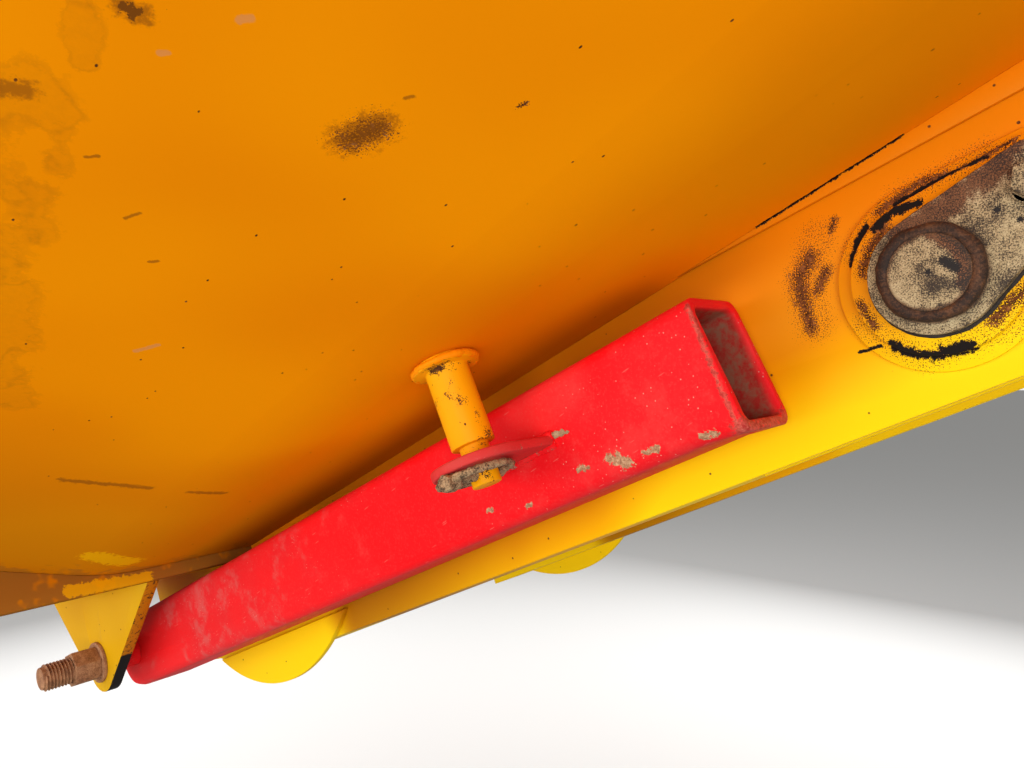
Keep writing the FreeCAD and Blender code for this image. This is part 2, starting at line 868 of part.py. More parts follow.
def build_rear_strips():
    """Cross strips under the seam, straight below and following the flank above."""
    fold_y = d.floor_half + d.fold_out
    fold_z = d.floor_drop + d.fold_up
    tip_z = fold_z + (d.strip_half - fold_y) * sine(d.flank_rise) / cosine(d.flank_rise)
    low = d.floor_drop - d.strip_drop
    for label, side in SIDES:
        outline = [
            Line(side * d.arm_half, low),
            Line(side * d.strip_half, low),
            Line(side * d.strip_half, tip_z),
            Line(side * fold_y, fold_z),
            Arc(side * d.floor_half, d.floor_drop, d.fold_radius, -side),
            Line(side * d.arm_half, d.floor_drop),
        ]
        start = -d.seam_reach
        extrusion(f"rear_strip_{label}", FLOOR, start, start + d.strip_wall, outline)


def under_sweep(x):
    """Height of the rear sweep's underside in the floor frame."""
    run = x + d.seam_reach
    return d.floor_drop + d.sweep_radius - root(d.sweep_radius * d.sweep_radius - run * run)


def web_path():
    """Outline of an arm web: floor above, straight lower edge, tail raised in two steps."""
    front = to_floor(d.web_front - d.web_drop, -d.web_drop)
    low = to_floor(d.web_low - d.prop_pivot, -d.web_drop)
    knee = to_floor(d.web_knee - d.prop_pivot, d.web_knee_rise - d.web_drop)
    tail = to_floor(-d.web_tail, d.web_tail_rise - d.web_drop)
    return [
        Line(*front),
        Line(d.web_front, 0),
        Line(d.web_front, d.floor_drop),
        Line(-d.seam_reach, d.floor_drop),
        Arc(tail[0], under_sweep(tail[0]), d.sweep_radius, -1),
        Line(*tail),
        Line(*knee),
        Line(*low),
    ]


def flag_centre(reach):
    return reach * cosine(d.flag_lift), reach * sine(d.flag_lift)


def floor_hole(u, w, radius):
    x, z = to_floor(u, w)
    return x, z, radius


def build_arms():
    """Two webs a side, closed below by a soffit, with a front diaphragm and a cross tube.

    Each outer web carries the prop's rest lobe and a tapered strap along the floor."""
    pin_bore = d.pin_radius + d.pin_fit
    keeper_u, keeper_w = flag_centre(d.flag_reach)
    keeper_bore = d.keeper_radius + d.pin_fit
    inner_far = d.arm_half - d.web_wall
    for label, side in SIDES:
        holes = [(0, 0, pin_bore), floor_hole(keeper_u, keeper_w, keeper_bore)]
        if side < 0:
            holes.append(floor_hole(-d.prop_pivot, 0, d.bolt_radius + d.bolt_fit))
        low, high = span(side, inner_far, d.arm_half)
        plate(f"arm_web_outer_{label}", FLOOR, low, high, web_path(), holes)
        low, high = span(side, d.web_inner_half, d.web_inner_half + d.web_wall)
        plate(f"arm_web_inner_{label}", FLOOR, low, high, web_path(), holes[:1])
        low, high = span(side, d.web_inner_half + d.web_wall, inner_far)
        rear, front = -d.soffit_rear, -d.soffit_front
        soffit = box_path(rear, front, -d.web_drop, d.soffit_wall - d.web_drop)
        plate(f"arm_soffit_{label}", ARM, low, high, soffit)
        foot_front = to_floor(front, d.soffit_wall - d.web_drop)
        foot_rear = to_floor(front - d.soffit_wall, d.soffit_wall - d.web_drop)
        diaphragm = [
            Line(*foot_rear),
            Line(*foot_front),
            Line(foot_front[0], d.floor_drop),
            Line(foot_rear[0], d.floor_drop),
        ]
        plate(f"arm_diaphragm_{label}", FLOOR, low, high, diaphragm)
        half = (d.lobe_rear - d.lobe_front) * 0.5
        rise = d.lobe_radius - root(d.lobe_radius * d.lobe_radius - half * half)
        top = rise - d.lobe_drop
        lobe = [Line(-d.lobe_rear, top), Arc(-d.lobe_front, top, d.lobe_radius, 1)]
        low, high = span(side, d.arm_half, d.arm_half + d.lobe_wall)
        plate(f"rest_lobe_{label}", ARM, low, high, lobe)
        strap = [
            Line(-d.strap_rear, d.floor_drop),
            Line(d.web_front, d.floor_drop - d.strap_deep),
            Line(d.web_front, d.floor_drop),
        ]
        low, high = span(side, d.arm_half, d.arm_half + d.strap_wall)
        plate(f"arm_strap_{label}", FLOOR, low, high, strap)
    half = d.web_inner_half
    rod("cross_tube", ARM, -half, half, -d.tube_reach, 0, d.tube_radius, d.tube_radius - d.tube_wall)


def build_pins():
    """Boss plate, hinge pin, its welded flag and the flag's keeper bolt, each side."""
    origin = (Size(0), Size(0))
    keeper = flag_centre(d.flag_reach)
    pin_bore = d.pin_radius + d.pin_fit
    keeper_bore = d.keeper_radius + d.pin_fit
    holes = [(*origin, pin_bore), (*keeper, keeper_bore)]
    boss_out = d.arm_half + d.boss_wall
    ring_out = boss_out + d.ring_wall
    flag_out = ring_out + d.flag_wall
    pin_out = flag_out + d.pin_proud
    washer_out = flag_out + d.keeper_washer_wall
    for label, side in SIDES:
        name = f"pin_boss_{label}"
        body = new_body(name, ARM)
        low, high = span(side, d.arm_half, boss_out)
        layer(body, name, low, high, hull_path(origin, d.boss_radius, keeper, d.boss_tip), holes)
        low, high = span(side, boss_out, ring_out)
        layer(
            body, name + "_raised", low, high,
            hull_path(origin, d.ring_radius, keeper, d.ring_tip), holes,
        )
        name = f"pin_flag_{label}"
        body = new_body(name, ARM)
        low, high = span(side, ring_out, flag_out)
        layer(body, name, low, high, hull_path(origin, d.flag_radius, keeper, d.flag_tip), holes)
        low, high = span(side, flag_out, flag_out + d.weld_tall)
        layer(body, name + "_weld", low, high, (), [(*origin, d.weld_radius), holes[0]])
        low, high = span(side, d.web_inner_half - d.pin_tail, pin_out)
        rod(f"hinge_pin_{label}", ARM, low, high, 0, 0, d.pin_radius)
        name = f"keeper_bolt_{label}"
        body = new_body(name, ARM)
        low, high = span(side, d.arm_half - d.web_wall, flag_out)
        layer(body, name, low, high, (), [(*keeper, d.keeper_radius)])
        low, high = span(side, flag_out, washer_out)
        layer(body, name + "_washer", low, high, (), [(*keeper, d.keeper_washer)])
        low, high = span(side, washer_out, washer_out + d.keeper_tall)
        layer(body, name + "_head", low, high, hex_path(*keeper, d.keeper_head))


def build_prop():
    """Safety prop under the right side: tube with a round tail, tongue and linch pin."""
    name = "prop_tube"
    body = new_body(name, ARM)
    half, wall = d.prop_tall * 0.5, d.prop_wall
    low, high = -d.prop_outer, -d.prop_inner
    tail = d.prop_pivot + half
    sketch = sketch_on(body, "YZ_Plane", -tail, name + "_section")
    draw_path(sketch, rounded_box(low, high, -half, half, d.prop_corner))
    draw_path(
        sketch,
        rounded_box(low + wall, high - wall, wall - half, half - wall, d.prop_inner_corner),
    )
    pad_of(body, sketch, tail - d.prop_near, name + "_pad")
    pivot = -d.prop_pivot
    beyond = half + wall
    tail_cut = [
        Line(pivot, half),
        Line(pivot, beyond),
        Line(pivot - beyond, beyond),
        Line(pivot - beyond, -beyond),
        Line(pivot, -beyond),
        Line(pivot, -half),
        Arc(pivot - half, 0, half, -1),
        Arc(pivot, half, half, -1),
    ]
    cut_across(body, name + "_tail", high, d.prop_wide, tail_cut[1:], (), -1)
    bore = [(pivot, 0, d.bolt_radius + d.bolt_fit)]
    cut_across(body, name + "_bore", high, d.prop_wide, (), bore, -1)

    reach, across = d.stud_reach, d.prop_outer + d.stud_stand
    radius = d.lug_radius
    tongue = [
        Line(radius - reach, -d.prop_outer),
        Line(-radius - reach, -d.prop_outer),
        Line(-radius - reach, -across),
        Arc(-reach, -across - radius, radius, 1),
        Arc(radius - reach, -across, radius, 1),
    ]
    eye = [(-reach, -across, d.neck_radius + d.neck_fit)]
    flat("prop_tongue", ARM, d.lug_lift, d.lug_lift + d.lug_wall, tongue, eye)


def build_stud():
    """Stud that hangs from the floor: collar, shaft, neck with a cross hole."""
    across = d.prop_outer + d.stud_stand
    x, base = to_floor(-d.stud_reach, d.lug_lift)
    neck = base + d.lug_wall + d.neck_rise
    collar = d.floor_drop - d.collar_tall
    body = post(
        "prop_stud", FLOOR, x, -across,
        [
            (collar + d.collar_wall, d.floor_drop, d.collar_radius - d.collar_wall),
            (collar, collar + d.collar_wall, d.collar_radius),
            (neck, collar, d.stud_radius),
            (base - (d.stud_tail + d.lug_lift), neck, d.neck_radius),
        ],
    )
    hole_z = base - d.linch_fit - d.linch_radius
    hole = [(x, hole_z, d.linch_radius + d.linch_fit * 0.25)]
    cut_across(body, "prop_stud_hole", -across + d.stud_radius, d.stud_radius * 2, (), hole, -1)


def build_linch_pin():
    """Shank through the stud, head outboard, and the ring sprung round beneath the tongue."""
    across = d.prop_outer + d.stud_stand
    reach, drop = d.stud_reach, d.lug_lift - d.linch_fit - d.linch_radius
    ring = doc.addObject("Part::Torus", "linch_pin_ring")
    ring.setExpression("Radius1", "Dims.linch_ring")
    ring.setExpression("Radius2", "Dims.linch_wire")
    shank = doc.addObject("Part::Cylinder", "linch_pin_shank")
    shank.setExpression("Radius", "Dims.linch_radius")
    shank.setExpression("Height", "2 * Dims.linch_ring + 3 * Dims.linch_wire")
    head = doc.addObject("Part::Cylinder", "linch_pin_head")
    head.setExpression("Radius", "Dims.linch_head")
    head.setExpression("Height", "2 * Dims.linch_head")
    turn = FreeCAD.Rotation(V(1, 0, 0), 90)
    # the head lies a little lower than the shank on top, so that it clears the tongue
    hang = drop + d.linch_radius - d.linch_head - d.linch_fit
    places = (
        (ring, FreeCAD.Rotation(), -(across + d.linch_set), drop),
        (shank, turn, -(across + d.linch_set - d.linch_ring - d.linch_wire), drop),
        (head, turn, d.linch_head - (across + d.linch_set + d.linch_ring), hang),
    )
    for piece, rotation, y, z in places:
        piece.Placement = FreeCAD.Placement(V(-reach.value, y.value, z.value), rotation)
        piece.setExpression("Placement.Base.x", (-reach).text)
        piece.setExpression("Placement.Base.y", y.text)
        piece.setExpression("Placement.Base.z", z.text)
    pin = doc.addObject("Part::MultiFuse", "linch_pin")
    pin.Shapes = [ring, shank, head]
    ARM.place(pin)
    pin.Label = "linch_pin"
    return pin


def build_pivot():
    """Ear, spacers, bolt, washer and nut that carry the prop's tail."""
    pivot = to_floor(-d.prop_pivot, 0)
    bore = (*pivot, d.bolt_radius + d.bolt_fit)
    front_x = to_floor(-d.ear_front, 0)[0]
    rear_x = to_floor(-d.ear_rear, 0)[0]
    rear = (rear_x, under_sweep(rear_x))
    shoulder = (front_x, d.floor_drop - d.strip_drop)
    outline = hanging_path(
        rear, shoulder, pivot, d.ear_radius,
        [Line(front_x, under_sweep(front_x)), Arc(*rear, d.sweep_radius, -1)],
    )
    plate("prop_ear", FLOOR, -d.ear_outer, -d.ear_inner, outline, [bore])
    reach = -d.prop_pivot
    gap = d.rub_gap
    hole = d.bolt_radius + d.bolt_fit
    radius = d.spacer_radius
    rod("spacer_inner", ARM, gap - d.prop_inner, -d.arm_half, reach, 0, radius, hole)
    rod("spacer_outer", ARM, -d.ear_inner, -d.prop_outer - gap, reach, 0, radius, hole)
    washer_out = d.ear_outer + d.washer_wall
    nut_out = washer_out + d.nut_tall
    rod("pivot_washer", ARM, -washer_out, -d.ear_outer, reach, 0, d.washer_radius, hole)
    nut = hex_path(reach, 0, d.bolt_head)
    plate("pivot_nut", ARM, -nut_out, -washer_out, nut, [(reach, 0, hole)])
    body = new_body("pivot_bolt", ARM)
    head_far = d.arm_half - d.web_wall
    layer(body, "pivot_bolt_head", -head_far, d.bolt_head_tall - head_far, nut)
    layer(body, "pivot_bolt_shank", -(nut_out + d.bolt_tail), -head_far, (), [(reach, 0, d.bolt_radius)])


def build_ram_bracket():
    """Pad and two lugs under the middle of the floor for the tipping ram's eye."""
    reach, drop = -d.ram_reach, d.ram_drop
    top = d.floor_drop - d.ram_pad_wall
    half = d.ram_pad_long * 0.5
    wide = d.ram_gap * 0.5 + d.ram_lug_wall * 1.5
    pad = box_path(reach - half, reach + half, top, d.floor_drop)
    plate("ram_pad", FLOOR, -wide, wide, pad)
    foot = half - d.ram_lug_wall
    outline = hanging_path(
        (reach - foot, top), (reach + foot, top), (reach, drop), d.ram_lug_radius
    )
    for label, side in SIDES:
        low, high = span(side, d.ram_gap * 0.5, d.ram_gap * 0.5 + d.ram_lug_wall)
        plate(f"ram_lug_{label}", FLOOR, low, high, outline, [(reach, drop, d.ram_bore)])


def build_lifting_eyes():
    """Four upright eyes on the side rims."""
    base = d.rim_height + d.rim_tall
    half = d.eye_radius + d.eye_wall
    for place, x in (("front", d.eye_front), ("rear", d.eye_rear)):
        centre = (x, base + d.eye_rise)
        right, left = (x + half, base), (x - half, base)
        angle_right = touch(right, centre, d.eye_radius, 1)
        angle_left = touch(left, centre, d.eye_radius, -1)
        outline = [
            Line(*right),
            Line(*on_circle(centre, d.eye_radius, angle_right)),
            Arc(*on_circle(centre, d.eye_radius, 90), d.eye_radius, 1),
            Arc(*on_circle(centre, d.eye_radius, angle_left), d.eye_radius, 1),
            Line(*left),
        ]
        for label, side in SIDES:
            low, high = span(side, d.shell_half, d.shell_half + d.eye_wall)
            plate(
                f"lifting_eye_{place}_{label}", MACHINE, low, high, outline,
                [(*centre, d.eye_bore)],
            )


def check_and_write():
    """Stops on any failed object, then writes each sub-part to its own file."""
    doc.recompute()
    for item in doc.Objects:
        if "Invalid" in item.State or "Error" in item.State:
            raise RuntimeError(f"{item.Name} failed: {item.State}")
    parts = [item for item in doc.Objects if item.TypeId == "PartDesign::Body"]
    parts += [item for item in doc.Objects if item.TypeId == "Part::MultiFuse"]
    os.makedirs("parts", exist_ok=True)
    for item in parts:
        shape = item.Shape
        if shape.isNull() or not shape.isValid() or not shape.Solids:
            raise RuntimeError(f"{item.Label} has no valid solid")
        shape.exportStep(os.path.join("parts", item.Label + ".step"))


build_floor()
build_rear_shell()
build_rear_wall()
build_side_walls()
build_rim()
build_lip_and_bearer()
build_side_ribs()
build_rear_ribs()
build_rear_strips()
build_arms()
build_pins()
build_prop()
build_stud()
build_linch_pin()
build_pivot()
build_ram_bracket()
build_lifting_eyes()
check_and_write()
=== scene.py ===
"""Looks of a site dumper's tipping skip with its stowed safety prop.

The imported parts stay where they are. This script rounds their edges, adds the welds,
the bolt's thread and the caked dirt, and gives every surface its paint, rust and wear.
Distances are metres in the machine frame: X forward, Y to the left, Z up.
"""

from __future__ import annotations

import logging
import math
from dataclasses import dataclass
from enum import Enum
from typing import Callable, Sequence

import bpy
from mathutils import Matrix, Vector

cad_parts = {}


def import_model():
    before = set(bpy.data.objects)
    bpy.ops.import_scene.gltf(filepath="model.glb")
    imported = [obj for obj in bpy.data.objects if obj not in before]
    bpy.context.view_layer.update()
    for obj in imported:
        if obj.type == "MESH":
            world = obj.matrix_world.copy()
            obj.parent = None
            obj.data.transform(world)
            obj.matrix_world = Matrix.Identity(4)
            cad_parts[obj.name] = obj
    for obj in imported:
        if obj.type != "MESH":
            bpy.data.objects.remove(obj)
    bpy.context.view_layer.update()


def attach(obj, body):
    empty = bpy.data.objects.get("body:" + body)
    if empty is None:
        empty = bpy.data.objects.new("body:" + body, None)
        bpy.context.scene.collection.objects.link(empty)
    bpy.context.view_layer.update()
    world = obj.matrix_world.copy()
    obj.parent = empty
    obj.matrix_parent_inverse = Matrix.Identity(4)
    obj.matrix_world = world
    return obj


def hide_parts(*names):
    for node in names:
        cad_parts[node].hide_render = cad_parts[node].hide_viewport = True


log = logging.getLogger("skip")

ARM_SLOPE = 25.0
FLOOR_SLOPE = 26.15
FLOOR_UNDER = 0.0966
WEB_FACE = 0.335

Colour = tuple[float, float, float]
Place = tuple[float, float, float]
Stops = tuple[tuple[float, Colour], ...]

RUST: Stops = (
    (0.30, (0.030, 0.010, 0.004)),
    (0.45, (0.075, 0.024, 0.009)),
    (0.58, (0.170, 0.052, 0.014)),
    (0.75, (0.360, 0.140, 0.045)),
)
MUD: Stops = (
    (0.30, (0.160, 0.100, 0.060)),
    (0.50, (0.360, 0.240, 0.125)),
    (0.72, (0.560, 0.410, 0.240)),
)


class Body(Enum):
    """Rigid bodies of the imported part."""

    SKIP = "skip"
    PROP = "prop"


class Slot(Enum):
    """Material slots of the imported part."""

    ORANGE = "orange_paint"
    YELLOW = "yellow_paint"
    RED = "red_paint"
    GREASY = "worn_steel"
    RUSTY = "rusty_steel"


class Hand(Enum):
    """Side of the machine, as the sign of Y."""

    RIGHT = -1
    LEFT = 1

    @property
    def label(self) -> str:
        """Ending of the names of the pieces on this side."""
        return self.name.lower()


def both(*stems: str) -> tuple[str, ...]:
    """Names of pieces that stand on each side."""
    return tuple(f"{stem}_{hand.label}" for stem in stems for hand in Hand)


def tilted(slope: float) -> Matrix:
    """Turn from a frame with its nose up to the machine frame.

    Args:
        slope: degrees of nose-up turn about the tip axis.

    Returns:
        The turn as a 4 x 4 matrix.
    """
    return Matrix.Rotation(math.radians(-slope), 4, "Y")


ARM = tilted(ARM_SLOPE)
FLOOR = tilted(FLOOR_SLOPE)


def across(frame: Matrix, u: float, y: float, w: float) -> Matrix:
    """Place of a round piece whose axis runs across the machine.

    Args:
        frame: arm or floor frame.
        u: place along the frame.
        y: place across the machine.
        w: place off the frame's axis.

    Returns:
        Matrix that turns local Z to the machine's right.
    """
    return frame @ Matrix.Translation((u, y, w)) @ Matrix.Rotation(math.radians(90.0), 4, "X")


@dataclass(frozen=True)
class Mark:
    """Round-ended mark on a surface, from one place to another.

    Args:
        start: its first end, in metres.
        end: its last end, in metres.
        radius: half of its width, in metres.
    """

    start: Place
    end: Place
    radius: float


def corner_mark(start: float, end: float, y: float, radius: float) -> Mark:
    """Mark along the floor's underside.

    Args:
        start: place of its first end along the floor.
        end: place of its last end along the floor.
        y: place across the machine, 0 where a finish ignores it.
        radius: half of its width.

    Returns:
        The mark in the machine frame.
    """
    stops = [tuple(FLOOR @ Vector((u, y, FLOOR_UNDER))) for u in (start, end)]
    return Mark(*stops, radius)


CRACK = corner_mark(-0.092, 0.022, -WEB_FACE, 0.0013)
CRACK_FLAT = corner_mark(-0.092, 0.022, 0.0, 0.0013)


def arm_chain(radius: float, *places: tuple[float, float], y: float = 0.0) -> tuple[Mark, ...]:
    """Marks joined end to end in the arm frame.

    Args:
        radius: half of their width.
        places: their ends, along and off the arm.
        y: place across the machine, left at 0 where a finish ignores it.

    Returns:
        The marks in the machine frame.
    """
    stops = [tuple(ARM @ Vector((u, y, w))) for u, w in places]
    ends = stops[1:] or stops
    return tuple(Mark(start, end, radius) for start, end in zip(stops, ends))


class Signal:
    """Output socket of a shader node; expressions on it add Math nodes."""

    def __init__(self, recipe: "Recipe", socket: bpy.types.NodeSocket) -> None:
        """Keeps the recipe that owns the node and the node's socket."""
        self.recipe = recipe
        self.socket = socket

    def _math(self, operation: str, *terms: "Signal | float") -> "Signal":
        """Adds one Math node over the given terms."""
        values = dict(enumerate(terms))
        return self.recipe.node("ShaderNodeMath", {"operation": operation}, values)

    def __add__(self, other: "Signal | float") -> "Signal":
        """Sum."""
        return self._math("ADD", self, other)

    __radd__ = __add__

    def __sub__(self, other: "Signal | float") -> "Signal":
        """Difference."""
        return self._math("SUBTRACT", self, other)

    def __rsub__(self, other: float) -> "Signal":
        """Difference from a plain number."""
        return self._math("SUBTRACT", other, self)

    def __mul__(self, other: "Signal | float") -> "Signal":
        """Product."""
        return self._math("MULTIPLY", self, other)

    __rmul__ = __mul__

    def __abs__(self) -> "Signal":
        """Size without sign."""
        return self._math("ABSOLUTE", self)

    def least(self, other: "Signal | float") -> "Signal":
        """Smaller of two values."""
        return self._math("MINIMUM", self, other)

    def most(self, other: "Signal | float") -> "Signal":
        """Larger of two values."""
        return self._math("MAXIMUM", self, other)

    def rise(self, low: float, high: float) -> "Signal":
        """Smooth step.

        Args:
            low: value that gives 0.
            high: value that gives 1; below low, the step falls.

        Returns:
            A value from 0 to 1.
        """
        settings = {"interpolation_type": "SMOOTHSTEP"}
        return self.recipe.node("ShaderNodeMapRange", settings, {0: self, 1: low, 2: high})

    def output(self, name: str) -> "Signal":
        """Another output of the same node."""
        return Signal(self.recipe, self.socket.node.outputs[name])


class Recipe:
    """Node tree of one finish."""

    def __init__(self, name: str) -> None:
        """Starts an empty material with object coordinates."""
        self.material = bpy.data.materials.new(name)
        self.material.use_nodes = True
        self.tree = self.material.node_tree
        self.tree.nodes.clear()
        self.coords = self.node("ShaderNodeTexCoord", output="Object")

    def node(
        self,
        kind: str,
        settings: dict[str, object] | None = None,
        inputs: dict[int | str, object] | None = None,
        output: int | str = 0,
    ) -> Signal:
        """Adds one node.

        Args:
            kind: node type.
            settings: attributes, and a ramp's stops as position and colour pairs.
            inputs: values or links of its sockets.
            output: socket that is handed back.

        Returns:
            The chosen output.
        """
        made = self.tree.nodes.new(kind)
        for key, value in (settings or {}).items():
            if key == "stops":
                self._set_stops(made, value)
            else:
                setattr(made, key, value)
        for key, value in (inputs or {}).items():
            if isinstance(value, Signal):
                self.tree.links.new(value.socket, made.inputs[key])
            else:
                made.inputs[key].default_value = value
        return Signal(self, made.outputs[output] if made.outputs else None)

    @staticmethod
    def _set_stops(made: bpy.types.Node, stops: Stops) -> None:
        """Writes a ramp's stops."""
        elements = made.color_ramp.elements
        while len(elements) < len(stops):
            elements.new(1.0)
        for element, (position, colour) in zip(elements, stops):
            element.position = position
            element.color = (*colour, 1.0)

    def vector(self, operation: str, first: object, second: object = None,
               output: str = "Vector") -> Signal:
        """Adds one Vector Math node."""
        inputs = {0: first} if second is None else {0: first, 1: second}
        return self.node("ShaderNodeVectorMath", {"operation": operation}, inputs, output)

    def noise(self, scale: float, detail: float = 2.0, rough: float = 0.55, bent: float = 0.0,
              where: Signal | None = None) -> Signal:
        """Cloudy value about 0.5, its scale in clouds per metre."""
        inputs = {
            "Vector": where or self.coords,
            "Scale": scale,
            "Detail": detail,
            "Roughness": rough,
            "Distortion": bent,
        }
        return self.node("ShaderNodeTexNoise", {}, inputs)

    def turned(self, angle: float) -> Signal:
        """Object coordinates turned about Y by degrees."""
        turn = (0.0, math.radians(angle), 0.0)
        return self.node("ShaderNodeMapping", {}, {"Vector": self.coords, "Rotation": turn})

    def stretched(self, scale: Place, angle: float = 0.0) -> Signal:
        """Object coordinates turned about Y by degrees and then scaled."""
        return self.vector("MULTIPLY", self.turned(angle), scale)

    def part_of(self, axis: int, where: Signal | None = None) -> Signal:
        """One coordinate of a place."""
        return self.node("ShaderNodeSeparateXYZ", {}, {0: where or self.coords}, axis)

    def mix(self, share: Signal | float, low: Signal | Colour, high: Signal | Colour) -> Signal:
        """Colour between two colours."""
        sides = [side if isinstance(side, Signal) else (*side, 1.0) for side in (low, high)]
        inputs = {0: share, 6: sides[0], 7: sides[1]}
        return self.node("ShaderNodeMix", {"data_type": "RGBA"}, inputs, 2)

    def ramp(self, value: Signal, stops: Stops) -> Signal:
        """Colour read from a ramp."""
        return self.node("ShaderNodeValToRGB", {"stops": stops}, {0: value})

    def near(self, marks: Sequence[Mark], flat: bool = False) -> Signal:
        """Distance to the nearest mark's middle line, counted in that mark's radius.

        Args:
            marks: the marks.
            flat: whether distance across the machine is left out.

        Returns:
            0 on a middle line and 1 at a mark's edge.
        """
        where = self.vector("MULTIPLY", self.coords, (1.0, 0.0, 1.0)) if flat else self.coords
        nearest = None
        for mark in marks:
            run = Vector(mark.end) - Vector(mark.start)
            offset = self.vector("SUBTRACT", where, mark.start)
            if run.length > 0.0:
                aim = tuple(run / run.length_squared)
                held = self.vector("DOT_PRODUCT", offset, aim, "Value")
                held = self.node("ShaderNodeClamp", {}, {0: held})
                inputs = {0: tuple(run), "Scale": held}
                reach = self.node("ShaderNodeVectorMath", {"operation": "SCALE"}, inputs)
                offset = self.vector("SUBTRACT", offset, reach)
            distance = self.vector("LENGTH", offset, output="Value") * (1.0 / mark.radius)
            nearest = distance if nearest is None else nearest.least(distance)
        return nearest

    def blot(self, marks: Sequence[Mark], grain: Signal, ragged: float, low: float, high: float,
             flat: bool = False) -> Signal:
        """Marks with a ragged edge.

        Args:
            marks: the marks.
            grain: noise that frays their edge.
            ragged: how far it frays it, in radii.
            low: distance at which they end, in radii.
            high: distance at which they are full, in radii.
            flat: whether distance across the machine is left out.

        Returns:
            1 on the marks and 0 off them.
        """
        return (self.near(marks, flat) + (grain - 0.5) * ragged).rise(low, high)

    def specks(self, scale: float, radius: float, share: float,
               where: Signal | None = None) -> Signal:
        """Scattered round specks.

        Args:
            scale: cells per metre.
            radius: their radius in cells.
            share: share of the cells that hold one.
            where: coordinates, stretched for long specks.

        Returns:
            1 on a speck and 0 off it.
        """
        inputs = {"Vector": where or self.coords, "Scale": scale}
        distance = self.node("ShaderNodeTexVoronoi", {}, inputs)
        draw = self.part_of(0, distance.output("Color"))
        return distance.rise(radius * 1.2, radius * 0.7) * draw.rise(1.0 - share, 1.01 - share)

    def bump(self, height: Signal, distance: float, strength: float = 1.0) -> Signal:
        """Normal bent by a height, in metres at value 1."""
        inputs = {"Height": height, "Distance": distance, "Strength": strength}
        return self.node("ShaderNodeBump", {}, inputs)

    def finish(self, **sockets: object) -> bpy.types.Material:
        """Ends the tree in a Principled shader.

        Args:
            sockets: values or links by socket name, with _ for a space.

        Returns:
            The finished material.
        """
        inputs = {}
        for name, value in sockets.items():
            if isinstance(value, tuple) and len(value) == 3:
                value = (*value, 1.0)
            inputs[name.replace("_", " ")] = value
        shader = self.node("ShaderNodeBsdfPrincipled", {}, inputs)
        self.node("ShaderNodeOutputMaterial", {}, {"Surface": shader})
        return self.material


@dataclass(frozen=True)
class Paint:
    """Sprayed machine paint with clouds of fading, pinholes, chips and stains.

    Args:
        name: material name.
        fresh: paint colour where it is clean.
        faded: paint colour where it has weathered.
        chipping: how much of it has flaked, from 0 to 1.
        pinholes: share of the small cells that hold a rust pinhole.
        rust: marks of spotty rust.
        haze: marks of a thin spray of rust specks.
        bare: marks where the paint has gone to black primer.
        gloss: roughness of clean paint.
        sheen: strength of its highlights.
        flat: whether the marks reach through the whole width.
    """

    name: str
    fresh: Colour = (0.94, 0.298, 0.001)
    faded: Colour = (0.86, 0.245, 0.001)
    chipping: float = 0.0
    pinholes: float = 0.12
    rust: tuple[Mark, ...] = ()
    haze: tuple[Mark, ...] = ()
    bare: tuple[Mark, ...] = ()
    gloss: float = 0.45
    sheen: float = 0.06
    flat: bool = False

    def coat(self, recipe: Recipe) -> Signal:
        """Colour of the clean film."""
        clouds = recipe.noise(4.5, 1.0, 0.6).rise(0.34, 0.68)
        return recipe.mix(clouds, self.fresh, self.faded)

    def weather(self, recipe: Recipe, colour: Signal, fine: Signal) -> tuple[Signal, Signal]:
        """Wears a film.

        Args:
            recipe: the finish under way.
            colour: colour of the film.
            fine: fine noise.

        Returns:
            The worn colour, and the share of lost paint.
        """
        long = recipe.stretched((75.0, 130.0, 75.0), FLOOR_SLOPE)
        lost = recipe.specks(1.0, 0.085, self.pinholes, long)
        grain = recipe.noise(1000.0, 1.0, 0.75)
        if self.chipping > 0.0:
            flaked = recipe.noise(52.0, 3.0, 0.7) * 0.7 + grain * 0.3
            edge = 0.66 - 0.20 * self.chipping
            lost = lost.most(flaked.rise(edge, edge + 0.03))
        if self.rust:
            spray = 1.0 - recipe.near(self.rust, self.flat) + (fine - 0.5) * 1.6
            lost = lost.most((grain + spray.most(-0.9) * 0.28).rise(0.58, 0.65))
        if self.haze:
            thin = (1.0 - recipe.near(self.haze, self.flat)).most(0.0).least(0.6)
            lost = lost.most((grain + thin * 0.36).rise(0.78, 0.82))
        colour = recipe.mix(lost, colour, recipe.ramp(fine, RUST))
        if self.bare:
            ragged = recipe.near(self.bare, self.flat) + (fine - 0.5) * 3.2 + (grain - 0.5) * 2.0
            gone = ragged.rise(1.04, 0.92)
            colour = recipe.mix(gone, colour, (0.012, 0.009, 0.008))
            lost = lost.most(gone)
        return colour, lost

    def close(self, recipe: Recipe, colour: Signal, lost: Signal, fine: Signal,
              rough: Signal | float = 0.0, relief: Signal | None = None) -> bpy.types.Material:
        """Ends the recipe with gloss and relief."""
        sockets = {"Normal": recipe.bump(relief, 0.0007, 0.6)} if relief else {}
        return recipe.finish(
            Base_Color=colour,
            Roughness=(self.gloss + fine * 0.12 + lost * 0.30 + rough).least(0.95),
            Specular_IOR_Level=self.sheen,
            **sockets,
        )

    def dress(self) -> bpy.types.Material:
        """Builds the material."""
        recipe = Recipe(self.name)
        fine = recipe.noise(200.0, 3.0, 0.75)
        colour, lost = self.weather(recipe, self.coat(recipe), fine)
        return self.close(recipe, colour, lost, fine)


